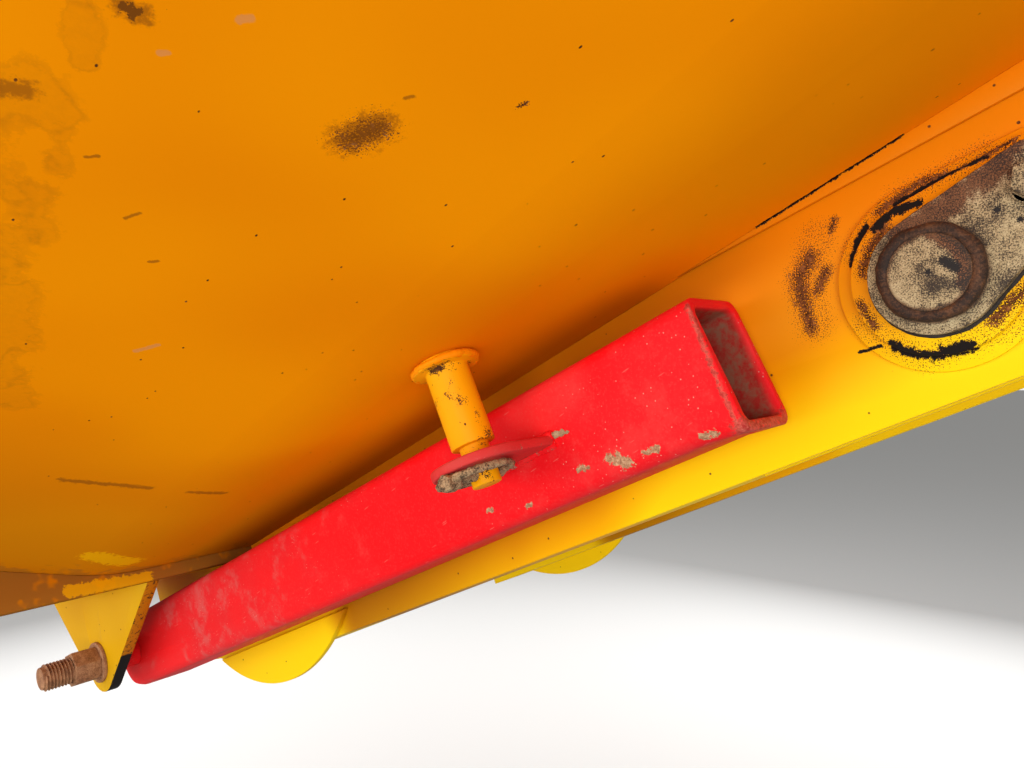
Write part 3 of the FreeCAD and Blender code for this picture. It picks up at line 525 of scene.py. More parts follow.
@dataclass(frozen=True)
class ArmPaint(Paint):
    """Arm paint: the yellow along the lower edge is painted light, and the orange higher up under
    the floor is partly overspray and partly painted shade.

    Args:
        shaded: how far behind the tip axis the orange of the painted shade reaches lower down.
        lobes: how far behind the tip axis the yellow of the painted light comes back, on the lobes.
        tail: how far behind the tip axis the yellow of the painted light covers the whole web.
    """

    flat: bool = True
    shaded: float = -0.30
    lobes: float = -0.76
    tail: float = -0.98

    def coat(self, recipe: Recipe) -> Signal:
        """Colour of the clean film by height off the arm's axis, with painted light low down and
        painted shade under the floor and behind the prop.
        """
        local = recipe.turned(ARM_SLOPE)
        along = recipe.part_of(0, local)
        # Painted shade: behind the prop, the orange reaches lower down the web.
        rear_shade = along.rise(self.shaded + 0.06, self.shaded - 0.05)
        # Painted light: the lobes turn yellow again.
        back = along.rise(self.lobes + 0.03, self.lobes - 0.03)
        drift = recipe.noise(9.0, 2.0, 0.5) * 0.030 - 0.015
        # Painted light: the tail of the web turns yellow all over.
        tail = along.rise(self.tail + 0.04, self.tail - 0.04)
        height = recipe.part_of(2, local) + drift + (rear_shade - back - tail * 2.0) * 0.050
        # Yellow low down is painted light; the darker orange under the floor is painted shade,
        # partly overspray.
        stops = (
            (0.12, (0.96, 0.620, 0.003)),
            (0.28, (0.90, 0.430, 0.001)),
            (0.43, (0.74, 0.262, 0.001)),
            (0.78, (0.73, 0.200, 0.001)),
        )
        # Painted shade in dark orange: in the corner under the floor, and along and behind the
        # prop.
        corner = along.rise(-0.05, -0.17) * height.rise(0.045, 0.080) * 0.55
        film = (along.rise(-0.33, -0.72) * 0.7).most(corner) * (1.0 - back)
        return recipe.mix(film, recipe.ramp(height * 5.0 + 0.42, stops), (0.30, 0.085, 0.001))


@dataclass(frozen=True)
class BracketPaint(Paint):
    """Brush-coated yellow of the small brackets, thin and chipped on their cut edges.

    Args:
        rim: colour of the cut edges.
        scorched: marks of black on the cut edges.
    """

    fresh: Colour = (0.70, 0.380, 0.004)
    faded: Colour = (0.60, 0.290, 0.003)
    rim: Colour = (0.52, 0.175, 0.003)
    scorched: tuple[Mark, ...] = ()

    def dress(self) -> bpy.types.Material:
        """Builds the material, split between faces and cut edges."""
        recipe = Recipe(self.name)
        fine = recipe.noise(200.0, 3.0, 0.75)
        colour, lost = self.weather(recipe, self.coat(recipe), fine)
        normal = recipe.node("ShaderNodeNewGeometry", output="True Normal")
        cut = abs(recipe.part_of(1, normal)).rise(0.75, 0.55)
        edge = recipe.mix(fine.rise(0.55, 0.62), self.rim, (0.045, 0.018, 0.010))
        if self.scorched:
            black = recipe.blot(self.scorched, fine, 0.8, 1.05, 0.90)
            edge = recipe.mix(black, edge, (0.014, 0.011, 0.010))
        return self.close(recipe, recipe.mix(cut, colour, edge), lost, fine)


@dataclass(frozen=True)
class ShellPaint(Paint):
    """Orange outside with run stains, a dirty seam and painted shade in the arms' corners; scraped,
    muddy wear face inside.

    Args:
        load_middle: point inside the load space that the wear faces look at.
        stains: marks of brown run-off.
        pale: marks of pale grey chips.
        brown: marks rubbed to brown.
        overspray: mark of a brighter touch-up.
        corners: marks of the painted shade in the arms' corners.
        olive: share of a dull dirt film all over.
        seam: how far behind the tip axis the rear seam lies.
        lined: whether faces towards the load are worn.
    """

    load_middle: Place = (-0.62, 0.0, 0.42)
    stains: tuple[Mark, ...] = ()
    pale: tuple[Mark, ...] = ()
    brown: tuple[Mark, ...] = ()
    overspray: tuple[Mark, ...] = ()
    corners: tuple[Mark, ...] = ()
    olive: float = 0.0
    sheen: float = 0.0
    seam: float = -0.927
    lined: bool = True

    def _stain(self, recipe: Recipe, colour: Signal, fine: Signal) -> Signal:
        """Brown run-off: a thin film with a darker, looping tide line."""
        loops = recipe.noise(26.0, 2.0, 0.6)
        reach = recipe.near(self.stains) + (loops - 0.5) * 4.4 + (fine - 0.5) * 2.2
        film = reach.rise(1.45, 0.55)
        tide = (1.0 - abs(reach - 0.95).rise(0.05, 0.40)) * (fine - 0.1)
        veins = (1.0 - abs(loops - 0.5).rise(0.0, 0.05)) * film
        depth = (film * 0.12 + tide * 0.20 + veins * 0.14) * (fine * 1.8 + 0.1)
        return recipe.mix(depth.least(0.7), colour, (0.24, 0.080, 0.006))

    def _grime(self, recipe: Recipe, colour: Signal, fine: Signal) -> Signal:
        """Darker towards the rear, painted shade in the arms' corners, dirt along the seam, and its
        dark dashes.
        """
        along = recipe.part_of(0, recipe.turned(FLOOR_SLOPE))
        # Darker and browner towards the rear.
        film = along.rise(-0.42, -0.84) * 0.46
        colour = recipe.mix(film, colour, (0.33, 0.122, 0.005))
        if self.corners:
            # Painted shade in the corners where the floor meets the arms' webs.
            corner = recipe.near(self.corners).rise(1.0, 0.15) * 0.55
            colour = recipe.mix(corner, colour, (0.30, 0.080, 0.002))
        broken = recipe.noise(40.0, 2.0, 0.7)
        dirt = (abs(along - self.seam) - (broken - 0.42) * 0.16).rise(0.020, -0.010) * 0.32
        dirt = dirt.most(self.olive * broken.rise(0.30, 0.46))
        colour = recipe.mix(dirt, colour, (0.165, 0.088, 0.026))
        line = abs(along - self.seam).rise(0.0034, 0.0016) * broken.rise(0.42, 0.50)
        return recipe.mix(line * (0.5 + fine), colour, (0.030, 0.012, 0.006))

    def _wear_face(self, recipe: Recipe, fine: Signal) -> tuple[Signal, Signal]:
        """Colour and relief of the inside."""
        drawn_out = recipe.stretched((3.0, 30.0, 30.0), FLOOR_SLOPE)
        scores = recipe.noise(5.0, 3.0, 0.75, where=drawn_out)
        steel = recipe.ramp(scores, (
            (0.30, (0.060, 0.034, 0.020)),
            (0.46, (0.150, 0.092, 0.056)),
            (0.60, (0.285, 0.225, 0.170)),
            (0.76, (0.120, 0.060, 0.028)),
        ))
        wear = recipe.noise(3.4, 3.0, 0.62)
        height = recipe.part_of(2)
        kept = (height * 1.2 + wear * 0.9 + scores * 0.5 - 0.70).rise(0.14, 0.30)
        inside = recipe.mix(kept, steel, self.faded)
        clods = recipe.noise(16.0, 3.0, 0.7)
        mud = (wear * 0.5 + clods * 0.5 - height * 0.36).rise(0.47, 0.58)
        return recipe.mix(mud * 0.9, inside, recipe.ramp(fine, MUD)), scores * 2.0

    def dress(self) -> bpy.types.Material:
        """Builds the material, split by which way the surface faces."""
        recipe = Recipe(self.name)
        fine = recipe.noise(200.0, 3.0, 0.75)
        outside = self._grime(recipe, self.coat(recipe), fine)
        if self.overspray:
            touched = recipe.blot(self.overspray, fine, 2.4, 1.1, 0.8)
            outside = recipe.mix(touched * 0.8, outside, (0.90, 0.44, 0.003))
        if self.stains:
            outside = self._stain(recipe, outside, fine)
        outside, lost = self.weather(recipe, outside, fine)
        if self.pale:
            chips = recipe.blot(self.pale, fine, 1.5, 1.1, 0.6)
            outside = recipe.mix(chips * 0.35, outside, (0.46, 0.26, 0.16))
        if self.brown:
            rubbed = recipe.blot(self.brown, fine, 2.6, 1.2, 0.3)
            outside = recipe.mix(rubbed * 0.7, outside, (0.270, 0.080, 0.006))

        inside, worn = self._wear_face(recipe, fine)
        normal = recipe.node("ShaderNodeNewGeometry", output="True Normal")
        toward = recipe.vector("SUBTRACT", self.load_middle, recipe.coords)
        inward = recipe.vector("DOT_PRODUCT", normal, toward, "Value").rise(-0.02, 0.02)
        inward = inward * float(self.lined)
        colour = recipe.mix(inward, outside, inside)
        waves = recipe.noise(9.0, 0.0, 0.5) * 2.0
        relief = waves * (1.0 - inward) + inward * worn
        return self.close(recipe, colour, lost * (1.0 - inward), fine, inward * 0.12, relief)


@dataclass(frozen=True)
class PropPaint:
    """Chalky red paint of the prop, scratched and splashed, with a dusty bore whose darker red is
    painted shade.

    Args:
        name: material name.
        chipping: share worn to brown and pink, from 0 to 1.
        splashes: marks of dried mud.
        dusty: marks of a grey-pink dust film.
        scuffs: marks worn to pale brown at the mouth.
        fresh: paint colour where it is clean.
        faded: paint colour where it has weathered.
        middle: place of the tube's middle across the machine.
        bore_wide: half of the bore's width.
        bore_tall: half of the bore's height.
        mouth: how far behind the tip axis the mouth lies.
    """

    name: str
    chipping: float = 0.0
    splashes: tuple[Mark, ...] = ()
    dusty: tuple[Mark, ...] = ()
    scuffs: tuple[Mark, ...] = ()
    fresh: Colour = (0.88, 0.004, 0.008)
    faded: Colour = (0.76, 0.010, 0.015)
    middle: float = -0.383
    bore_wide: float = 0.0335
    bore_tall: float = 0.0435
    mouth: float = -0.131

    def _bore(self, recipe: Recipe) -> Signal:
        """Mask of the tube's inside."""
        local = recipe.turned(ARM_SLOPE)
        blur = 0.0015
        aside = abs(recipe.part_of(1, local) - self.middle)
        aside = aside.rise(self.bore_wide + blur, self.bore_wide)
        tall = abs(recipe.part_of(2, local)).rise(self.bore_tall + blur, self.bore_tall)
        return aside * tall * recipe.part_of(0, local).rise(self.mouth, self.mouth - 0.008)

    def dress(self) -> bpy.types.Material:
        """Builds the material."""
        recipe = Recipe(self.name)
        fine = recipe.noise(260.0, 3.0, 0.72)
        clouds = recipe.noise(8.0, 2.0, 0.65)
        colour = recipe.mix(clouds.rise(0.34, 0.70), self.fresh, self.faded)
        chalk = (recipe.noise(34.0, 4.0, 0.75) + (clouds - 0.5) * 0.5).rise(0.50, 0.72)
        mottle = recipe.noise(420.0, 2.0, 0.7).rise(0.50, 0.72)
        colour = recipe.mix(chalk * 0.11 + mottle * 0.09, colour, (0.70, 0.16, 0.13))
        rear = recipe.part_of(0, recipe.turned(ARM_SLOPE)).rise(-0.45, -0.85)
        colour = recipe.mix(rear * (0.05 + 0.30 * chalk), colour, (0.52, 0.17, 0.15))
        if self.dusty:
            film = recipe.blot(self.dusty, clouds, 2.0, 1.2, 0.2)
            colour = recipe.mix(film * (0.02 + 0.14 * fine), colour, (0.56, 0.22, 0.18))
        drawn = recipe.specks(1.0, 0.16, 0.16, recipe.stretched((42.0, 330.0, 330.0), 32.0))
        colour = recipe.mix(drawn * 0.32, colour, (0.72, 0.20, 0.16))
        grit = recipe.specks(300.0, 0.17, 0.22) * clouds.rise(0.38, 0.58)
        colour = recipe.mix(grit * 0.6, colour, (0.66, 0.36, 0.28))
        if self.splashes:
            cake = recipe.blot(self.splashes, fine, 4.5, 1.05, 0.75)
            mud = recipe.ramp(recipe.noise(420.0, 2.0, 0.7), MUD)
            colour = recipe.mix(cake * 0.9, colour, mud)
        brown = recipe.ramp(fine, (
            (0.30, (0.060, 0.018, 0.012)),
            (0.48, (0.300, 0.090, 0.060)),
            (0.70, (0.520, 0.300, 0.210)),
        ))
        if self.chipping > 0.0:
            edge = 0.72 - 0.30 * self.chipping
            worn = recipe.noise(95.0, 4.0, 0.78).rise(edge, edge + 0.04)
            colour = recipe.mix(worn * 0.85, colour, brown)
        if self.scuffs:
            rubbed = recipe.blot(self.scuffs, fine, 3.6, 1.1, 0.4)
            colour = recipe.mix(rubbed * 0.6, colour, brown)
        bore = self._bore(recipe)
        # Inside the bore: dust over a darker red that is painted shade.
        dust = (recipe.noise(46.0, 4.0, 0.75) * 0.6 + fine * 0.4).rise(0.40, 0.66)
        bore_shade_and_dust = recipe.mix(dust, (0.32, 0.012, 0.009), (0.220, 0.085, 0.050))
        colour = recipe.mix(bore, colour, bore_shade_and_dust)
        return recipe.finish(
            Base_Color=colour,
            Roughness=(0.46 + chalk * 0.14 + fine * 0.10 + bore * 0.2).least(0.95),
            Normal=recipe.bump(fine * 0.25 + clouds * 0.6, 0.0008, 0.6),
            Specular_IOR_Level=0.08,
        )


@dataclass(frozen=True)
class RawSteel:
    """Unpainted steel under rust, grease and dried dirt.

    Args:
        name: material name.
        stops: ramp of its mottled colours.
        scale: mottles per metre.
        metal: metallic share of the brightest spots.
        relief: height of its pitting, in metres.
        black: share of the surface under black spots.
        rusted: marks of thicker rust.
        holes: marks of black dimples.
        grain: fine mottles per metre, 0 for a fixed share of the broad ones.
        ring: radius of a burnt ring round the tip axis, 0 for none.
    """

    name: str
    stops: Stops
    scale: float = 60.0
    metal: float = 0.0
    relief: float = 0.0008
    black: float = 0.0
    rusted: tuple[Mark, ...] = ()
    holes: tuple[Mark, ...] = ()
    grain: float = 0.0
    ring: float = 0.0

    def dress(self) -> bpy.types.Material:
        """Builds the material."""
        recipe = Recipe(self.name)
        broad = recipe.noise(self.scale, 4.0, 0.7)
        fine = recipe.noise(self.grain or self.scale * 9.0, 3.0, 0.75)
        mottle = broad * 0.5 + fine * 0.5
        colour = recipe.ramp(mottle, self.stops)
        bright = mottle.rise(0.50, 0.62)
        rough = 0.74 - bright * 0.16
        if self.rusted:
            cover = recipe.near(self.rusted, flat=True) + (broad - 0.5) * 2.6
            thick = (cover + (fine - 0.5) * 1.6).rise(1.15, 0.55)
            colour = recipe.mix(thick * 0.92, colour, recipe.ramp(fine, RUST))
            bright = bright * (1.0 - thick)
        if self.ring:
            radial = recipe.vector("MULTIPLY", recipe.coords, (1.0, 0.0, 1.0))
            radial = recipe.vector("LENGTH", radial, output="Value")
            band = (abs(radial - self.ring) + (broad - 0.5) * 0.008).rise(0.0070, 0.0040)
            scorched = ((0.36, (0.030, 0.012, 0.006)), (0.60, (0.160, 0.070, 0.026)))
            colour = recipe.mix(band * 0.9, colour, recipe.ramp(mottle, scorched))
        if self.black > 0.0:
            spots = fine * 0.62 + broad * 0.38
            edge = 0.40 + 0.16 * self.black
            dark = spots.rise(edge + 0.03, edge - 0.05)
            colour = recipe.mix(dark * 0.9, colour, (0.020, 0.015, 0.012))
        if self.holes:
            dimple = recipe.blot(self.holes, fine, 2.8, 1.1, 0.7, flat=True)
            colour = recipe.mix(dimple, colour, (0.012, 0.009, 0.008))
        return recipe.finish(
            Base_Color=colour,
            Metallic=bright * self.metal,
            Roughness=rough,
            Normal=recipe.bump(mottle, self.relief, 0.8),
            Specular_IOR_Level=0.35,
        )


class Bench:
    """Operator steps that all pieces share."""

    @staticmethod
    def clear() -> None:
        """Leaves nothing selected, in object mode."""
        if bpy.context.object and bpy.context.object.mode != "OBJECT":
            bpy.ops.object.mode_set(mode="OBJECT")
        bpy.ops.object.select_all(action="DESELECT")

    @classmethod
    def alone(cls, piece: bpy.types.Object) -> None:
        """Leaves one object selected and active."""
        cls.clear()
        piece.select_set(True)
        bpy.context.view_layer.objects.active = piece

    @classmethod
    def copy_of(cls, node: str, name: str) -> bpy.types.Object:
        """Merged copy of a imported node.

        Args:
            node: the node's name.
            name: the new piece's name.

        Returns:
            The copy, its faces joined into flats.
        """
        source = bpy.data.objects[node]
        piece = bpy.data.objects.new(name, source.data.copy())
        bpy.context.scene.collection.objects.link(piece)
        cls.alone(piece)
        bpy.ops.object.mode_set(mode="EDIT")
        bpy.ops.mesh.select_all(action="SELECT")
        bpy.ops.mesh.remove_doubles(threshold=1e-5)
        bpy.ops.mesh.customdata_custom_splitnormals_clear()
        bpy.ops.mesh.dissolve_limited(angle_limit=math.radians(0.4))
        bpy.ops.object.mode_set(mode="OBJECT")
        piece.data.materials.clear()
        return piece

    @classmethod
    def pick(cls, piece: bpy.types.Object, taken: Callable[[Vector], bool]) -> None:
        """Opens a piece in edit mode with some of its corners selected.

        Args:
            piece: the mesh object.
            taken: tells from a corner's place whether it is selected.
        """
        cls.alone(piece)
        bpy.ops.object.mode_set(mode="EDIT")
        bpy.ops.mesh.select_mode(type="VERT")
        bpy.ops.mesh.select_all(action="DESELECT")
        bpy.ops.object.mode_set(mode="OBJECT")
        for vertex in piece.data.vertices:
            vertex.select = taken(vertex.co)
        bpy.ops.object.mode_set(mode="EDIT")

    @classmethod
    def close_ends(cls, piece: bpy.types.Object, sides: int, gap: float = 0.0) -> None:
        """Joins a swept piece to a closed one.

        Args:
            piece: the mesh object.
            sides: corners of its section.
            gap: distance below which corners merge, 0 to leave them.
        """
        cls.alone(piece)
        bpy.ops.object.mode_set(mode="EDIT")
        bpy.ops.mesh.select_all(action="SELECT")
        if gap > 0.0:
            bpy.ops.mesh.remove_doubles(threshold=gap)
        bpy.ops.mesh.fill_holes(sides=sides)
        bpy.ops.mesh.normals_make_consistent(inside=False)
        bpy.ops.object.mode_set(mode="OBJECT")

    @classmethod
    def apply(cls, piece: bpy.types.Object, kind: str, **settings: object) -> None:
        """Adds a modifier, sets it and applies it."""
        cls.alone(piece)
        modifier = piece.modifiers.new(kind.lower(), kind)
        for key, value in settings.items():
            setattr(modifier, key, value)
        bpy.ops.object.modifier_apply(modifier=modifier.name)

    @classmethod
    def round_edges(cls, piece: bpy.types.Object, width: float, steps: int = 2) -> None:
        """Bevels the sharp edges, the bevels taking the second material."""
        cls.apply(
            piece, "BEVEL", width=width, segments=steps, limit_method="ANGLE",
            angle_limit=math.radians(32.0), use_clamp_overlap=False, material=1,
            miter_outer="MITER_ARC",
        )
        cls.smooth(piece, 38.0)

    @classmethod
    def smooth(cls, piece: bpy.types.Object, angle: float) -> None:
        """Shades faces smooth where they meet at less than an angle in degrees."""
        cls.alone(piece)
        bpy.ops.object.shade_smooth_by_angle(angle=math.radians(angle))

    @classmethod
    def settle(cls, piece: bpy.types.Object, place: Matrix) -> None:
        """Moves a piece by a matrix and writes its place into its mesh."""
        cls.alone(piece)
        bpy.ops.object.transform_apply(location=True, rotation=True, scale=True)
        piece.matrix_world = place
        bpy.ops.object.transform_apply(location=True, rotation=True, scale=True)

    @classmethod
    def roughen(cls, piece: bpy.types.Object, grain: float, depth: float) -> None:
        """Uneven surface from a cloud texture.

        Args:
            piece: the mesh object.
            grain: size of the clouds.
            depth: how far they push in all.
        """
        name = f"clouds_{round(grain * 10000)}"
        clouds = bpy.data.textures.get(name) or bpy.data.textures.new(name, "CLOUDS")
        clouds.noise_scale = grain
        cls.apply(
            piece, "DISPLACE", texture=clouds, texture_coords="LOCAL", strength=depth, mid_level=0.5
        )

    @classmethod
    def seat(cls, piece: bpy.types.Object, body: Body, slot: Slot,
             materials: Sequence[bpy.types.Material], replaced: Sequence[str] = ()) -> None:
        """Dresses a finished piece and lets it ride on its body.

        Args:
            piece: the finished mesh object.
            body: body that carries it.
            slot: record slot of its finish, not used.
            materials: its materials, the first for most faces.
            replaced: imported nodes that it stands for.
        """
        piece.data.materials.clear()
        for material in materials:
            piece.data.materials.append(material)
        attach(piece, body.value)
        if replaced:
            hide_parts(*replaced)
        log.info("%s rides on %s", piece.name, body.value)

    @classmethod
    def edged(cls, node: str, body: Body, slot: Slot, materials: Sequence[bpy.types.Material],
              width: float, steps: int = 2,
              shape: Callable[[bpy.types.Object], None] | None = None) -> None:
        """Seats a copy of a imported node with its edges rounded.

        Args:
            node: the node's name.
            body: body that carries it.
            slot: record slot of its finish.
            materials: its materials, the first for its faces and the last for its edges.
            width: width of the rounding.
            steps: segments of the rounding.
            shape: what else is done to the copy before that.
        """
        piece = cls.copy_of(node, node + "_edged")
        if shape:
            shape(piece)
        cls.round_edges(piece, width, steps)
        cls.seat(piece, body, slot, materials, [node])


@dataclass(frozen=True)
class Bead:
    """Weld bead or smear: a chain of short rippled cones along a run.

    Args:
        radius: half of its width.
        pitch: length of one ripple.
        wander: depth of its unevenness.
        sides: corners of its section.
        step: share by which a ripple narrows.
    """

    radius: float = 0.0045
    pitch: float = 0.0042
    wander: float = 0.0016
    sides: int = 10
    step: float = 0.10

    def _chain(self, name: str, count: int, pitch: float) -> bpy.types.Object:
        """Straight chain of ripples from the origin along X."""
        Bench.clear()
        bpy.ops.mesh.primitive_cone_add(
            vertices=self.sides,
            radius1=self.radius,
            radius2=self.radius * (1.0 - self.step),
            depth=pitch,
            end_fill_type="NOTHING",
            rotation=(0.0, math.radians(90.0), 0.0),
            location=(pitch * 0.5, 0.0, 0.0),
        )
        piece = bpy.context.object
        piece.name = name
        bpy.ops.object.transform_apply(location=True, rotation=True, scale=True)
        Bench.apply(
            piece, "ARRAY", use_relative_offset=False, use_constant_offset=True,
            constant_offset_displace=(pitch, 0.0, 0.0), count=count,
        )
        return piece

    def follow(self, name: str, stops: Sequence[Vector], closed: bool = False) -> bpy.types.Object:
        """Bead along a path.

        Args:
            name: the piece's name.
            stops: points of the path, in the machine frame.
            closed: whether the last point joins the first.

        Returns:
            The bead as a mesh in place.
        """
        ends = list(stops) + ([stops[0]] if closed else [])
        length = sum((b - a).length for a, b in zip(ends, ends[1:]))
        count = max(2, round(length / self.pitch))
        piece = self._chain(name, count, length / count)
        line = bpy.data.curves.new(name + "_guide", "CURVE")
        line.dimensions = "3D"
        spline = line.splines.new("POLY")
        spline.points.add(len(stops) - 1)
        for point, stop in zip(spline.points, stops):
            point.co = (*stop, 1.0)
        spline.use_cyclic_u = closed
        guide = bpy.data.objects.new(name + "_guide", line)
        bpy.context.scene.collection.objects.link(guide)
        Bench.apply(piece, "CURVE", object=guide, deform_axis="POS_X")
        bpy.data.objects.remove(guide)
        Bench.close_ends(piece, self.sides, self.radius * 0.02)
        Bench.roughen(piece, 0.011, self.wander)
        Bench.smooth(piece, 60.0)
        return piece

    def ring(self, name: str, radius: float, place: Matrix, count: int = 72) -> bpy.types.Object:
        """Bead round a circle that lies level in its own frame."""
        turns = (math.tau * step / count for step in range(count))
        stops = [place @ Vector((radius * math.cos(t), radius * math.sin(t), 0.0)) for t in turns]
        return self.follow(name, stops, closed=True)


class Finishes:
    """Every material of the part, made once."""

    def __init__(self) -> None:
        """Builds the materials."""
        self._shell_paints()
        self.orange = Paint("skip_paint", pinholes=0.10).dress()
        self.orange_edge = Paint("skip_paint_edge", chipping=0.75, pinholes=0.2).dress()
        tip = (Mark((-0.9650, -0.4650, -0.4660), (-1.0080, -0.4650, -0.5170), 0.0160),)
        self.bracket = BracketPaint("bracket_paint", scorched=tip, pinholes=0.25).dress()
        self.bracket_edge = BracketPaint(
            "bracket_paint_edge", fresh=(0.58, 0.22, 0.004), faded=(0.50, 0.17, 0.004),
            scorched=tip, chipping=0.7,
        ).dress()
        self.stud = Paint(
            "stud_paint", fresh=(0.93, 0.450, 0.003), faded=(0.90, 0.350, 0.002), pinholes=0.5,
            chipping=0.42, gloss=0.38,
        ).dress()
        self._arm_paints()
        self._red_paints()
        self._steels()

    def _shell_paints(self) -> None:
        """Paints of the plates and of the strips under them."""
        rust = (
            Mark((-0.1945, -0.6680, 0.0596), (-0.1820, -0.6622, 0.0638), 0.0098),
            Mark((-0.1297, -0.6148, 0.0741), (-0.1257, -0.6134, 0.0755), 0.0016),
        )
        brown = (
            Mark((-0.1955, -0.6684, 0.0594), (-0.1810, -0.6618, 0.0640), 0.0120),
            Mark((-0.1609, -0.6617, 0.0742), (-0.1575, -0.6590, 0.0750), 0.0014),
            Mark((-0.2797, -0.7606, 0.0485), (-0.2759, -0.7566, 0.0491), 0.0011),
            Mark((-0.6266, -0.6542, -0.1569), (-0.6109, -0.5841, -0.1723), 0.0052),
            Mark((-0.6052, -0.5482, -0.1807), (-0.6038, -0.5126, -0.1868), 0.0045),
            Mark((-0.3059, -0.7312, 0.0260), (-0.2985, -0.7270, 0.0285), 0.0015),
            Mark((-0.3304, -0.7083, 0.0064), (-0.3270, -0.7045, 0.0068), 0.0013),
            Mark((-0.2656, -0.8002, 0.0685), (-0.2597, -0.7913, 0.0685), 0.0060),
            Mark((-0.2009, -0.7755, 0.0920), (-0.2002, -0.7690, 0.0905), 0.0060),
        )
        bare = (
            Mark((-0.2009, -0.7740, 0.0920), (-0.2004, -0.7715, 0.0910), 0.0030),
        )
        stains = (
            Mark((-0.2736, -0.7972, 0.0636), (-0.2603, -0.7845, 0.0659), 0.0150),
            Mark((-0.2724, -0.7736, 0.0564), (-0.2943, -0.7671, 0.0435), 0.0065),
            Mark((-0.3179, -0.7729, 0.0338), (-0.3420, -0.7599, 0.0177), 0.0120),
            Mark((-0.3479, -0.7741, 0.0195), (-0.5162, -0.7280, -0.0783), 0.0110),
            Mark((-0.2081, -0.7881, 0.0927), (-0.2329, -0.7784, 0.0774), 0.0050),
        )
        pale = (
            Mark((-0.1769, -0.7383, 0.0917), (-0.1736, -0.7356, 0.0924), 0.0024),
            Mark((-0.2100, -0.7565, 0.0814), (-0.2079, -0.7541, 0.0816), 0.0018),
            Mark((-0.4149, -0.6799, -0.0445), (-0.4012, -0.6712, -0.0406), 0.0022),
        )
        overspray = (
            Mark((-0.8004, -0.5619, -0.2726), (-0.8199, -0.5177, -0.2922), 0.016),
            Mark((-0.8600, -0.5680, -0.3235), (-0.8585, -0.4780, -0.3275), 0.008),
        )
        # Painted shade along the corners where the floor meets the arms' webs.
        corners = tuple(
            corner_mark(-0.230, -0.880, hand.value * WEB_FACE, 0.085) for hand in Hand
        )
        self.shell = ShellPaint(
            "shell_paint", bare=(CRACK,), corners=corners, pinholes=0.13
        ).dress()
        self.flank = ShellPaint(
            "flank_paint", rust=rust, bare=bare, stains=stains, pale=pale, brown=brown,
            overspray=overspray[:1], pinholes=0.13,
        ).dress()
        self.strip = ShellPaint(
            "strip_paint", lined=False, olive=0.6, overspray=overspray[1:], corners=corners,
            pinholes=0.13,
        ).dress()

    def _arm_paints(self) -> None:
        """Paints of the arms, worn round the pins."""
        rust = (
            *arm_chain(0.0115, (-0.0700, 0.0540), (-0.0840, 0.0440), (-0.0880, 0.0280)),
            *arm_chain(0.0085, (-0.0880, 0.0260), (-0.0915, 0.0060)),
            *arm_chain(0.0070, (-0.0641, 0.0401), (-0.0762, 0.0292)),
            *arm_chain(0.0045, (-0.0488, 0.0647), (-0.0440, 0.0700)),
            *arm_chain(0.0065, (-0.0395, 0.0230), (-0.0290, 0.0350), (-0.0150, 0.0430)),
            *arm_chain(0.0052, (-0.0145, 0.0580), (0.0147, 0.0620), (0.0301, 0.0580)),
            *arm_chain(0.0040, (0.0400, 0.0560), (0.0719, 0.0540)),
            *arm_chain(0.0075, (0.0175, -0.0426), (0.0277, -0.0373), (0.0480, -0.0310)),
            *arm_chain(0.0050, (-0.0500, 0.0050), (-0.0480, -0.0150)),
        )
        bare = (
            *arm_chain(0.0022, (-0.0460, 0.0330), (-0.0348, 0.0466), (-0.0255, 0.0530)),
            *arm_chain(0.0034, (-0.0200, 0.0470), (-0.0060, 0.0510), (0.0100, 0.0480)),
            *arm_chain(0.0016, (-0.0034, 0.0570), (0.0300, 0.0570), (0.0560, 0.0530)),
            *arm_chain(0.0034, (-0.0430, -0.0320), (-0.0362, -0.0400), (-0.0282, -0.0456)),
            *arm_chain(0.0038, (-0.0240, -0.0480), (-0.0015, -0.0515)),
            *arm_chain(0.0012, (-0.0675, -0.0248), (-0.0520, -0.0275)),
            CRACK_FLAT,
        )
        haze = (
            *arm_chain(0.0260, (-0.0600, 0.0640), (-0.0820, 0.0420), (-0.0880, 0.0080)),
            *arm_chain(0.0180, (-0.0420, 0.0420), (-0.0020, 0.0600), (0.0560, 0.0580)),
            *arm_chain(0.0170, (-0.0560, -0.0100), (-0.0300, -0.0480), (0.0240, -0.0500)),
        )
        self.arm = ArmPaint(
            "arm_paint", rust=rust, haze=haze, bare=bare, gloss=0.40, pinholes=0.2
        ).dress()
        self.arm_edge = ArmPaint(
            "arm_paint_edge", rust=rust, bare=bare, chipping=0.6, pinholes=0.2
        ).dress()

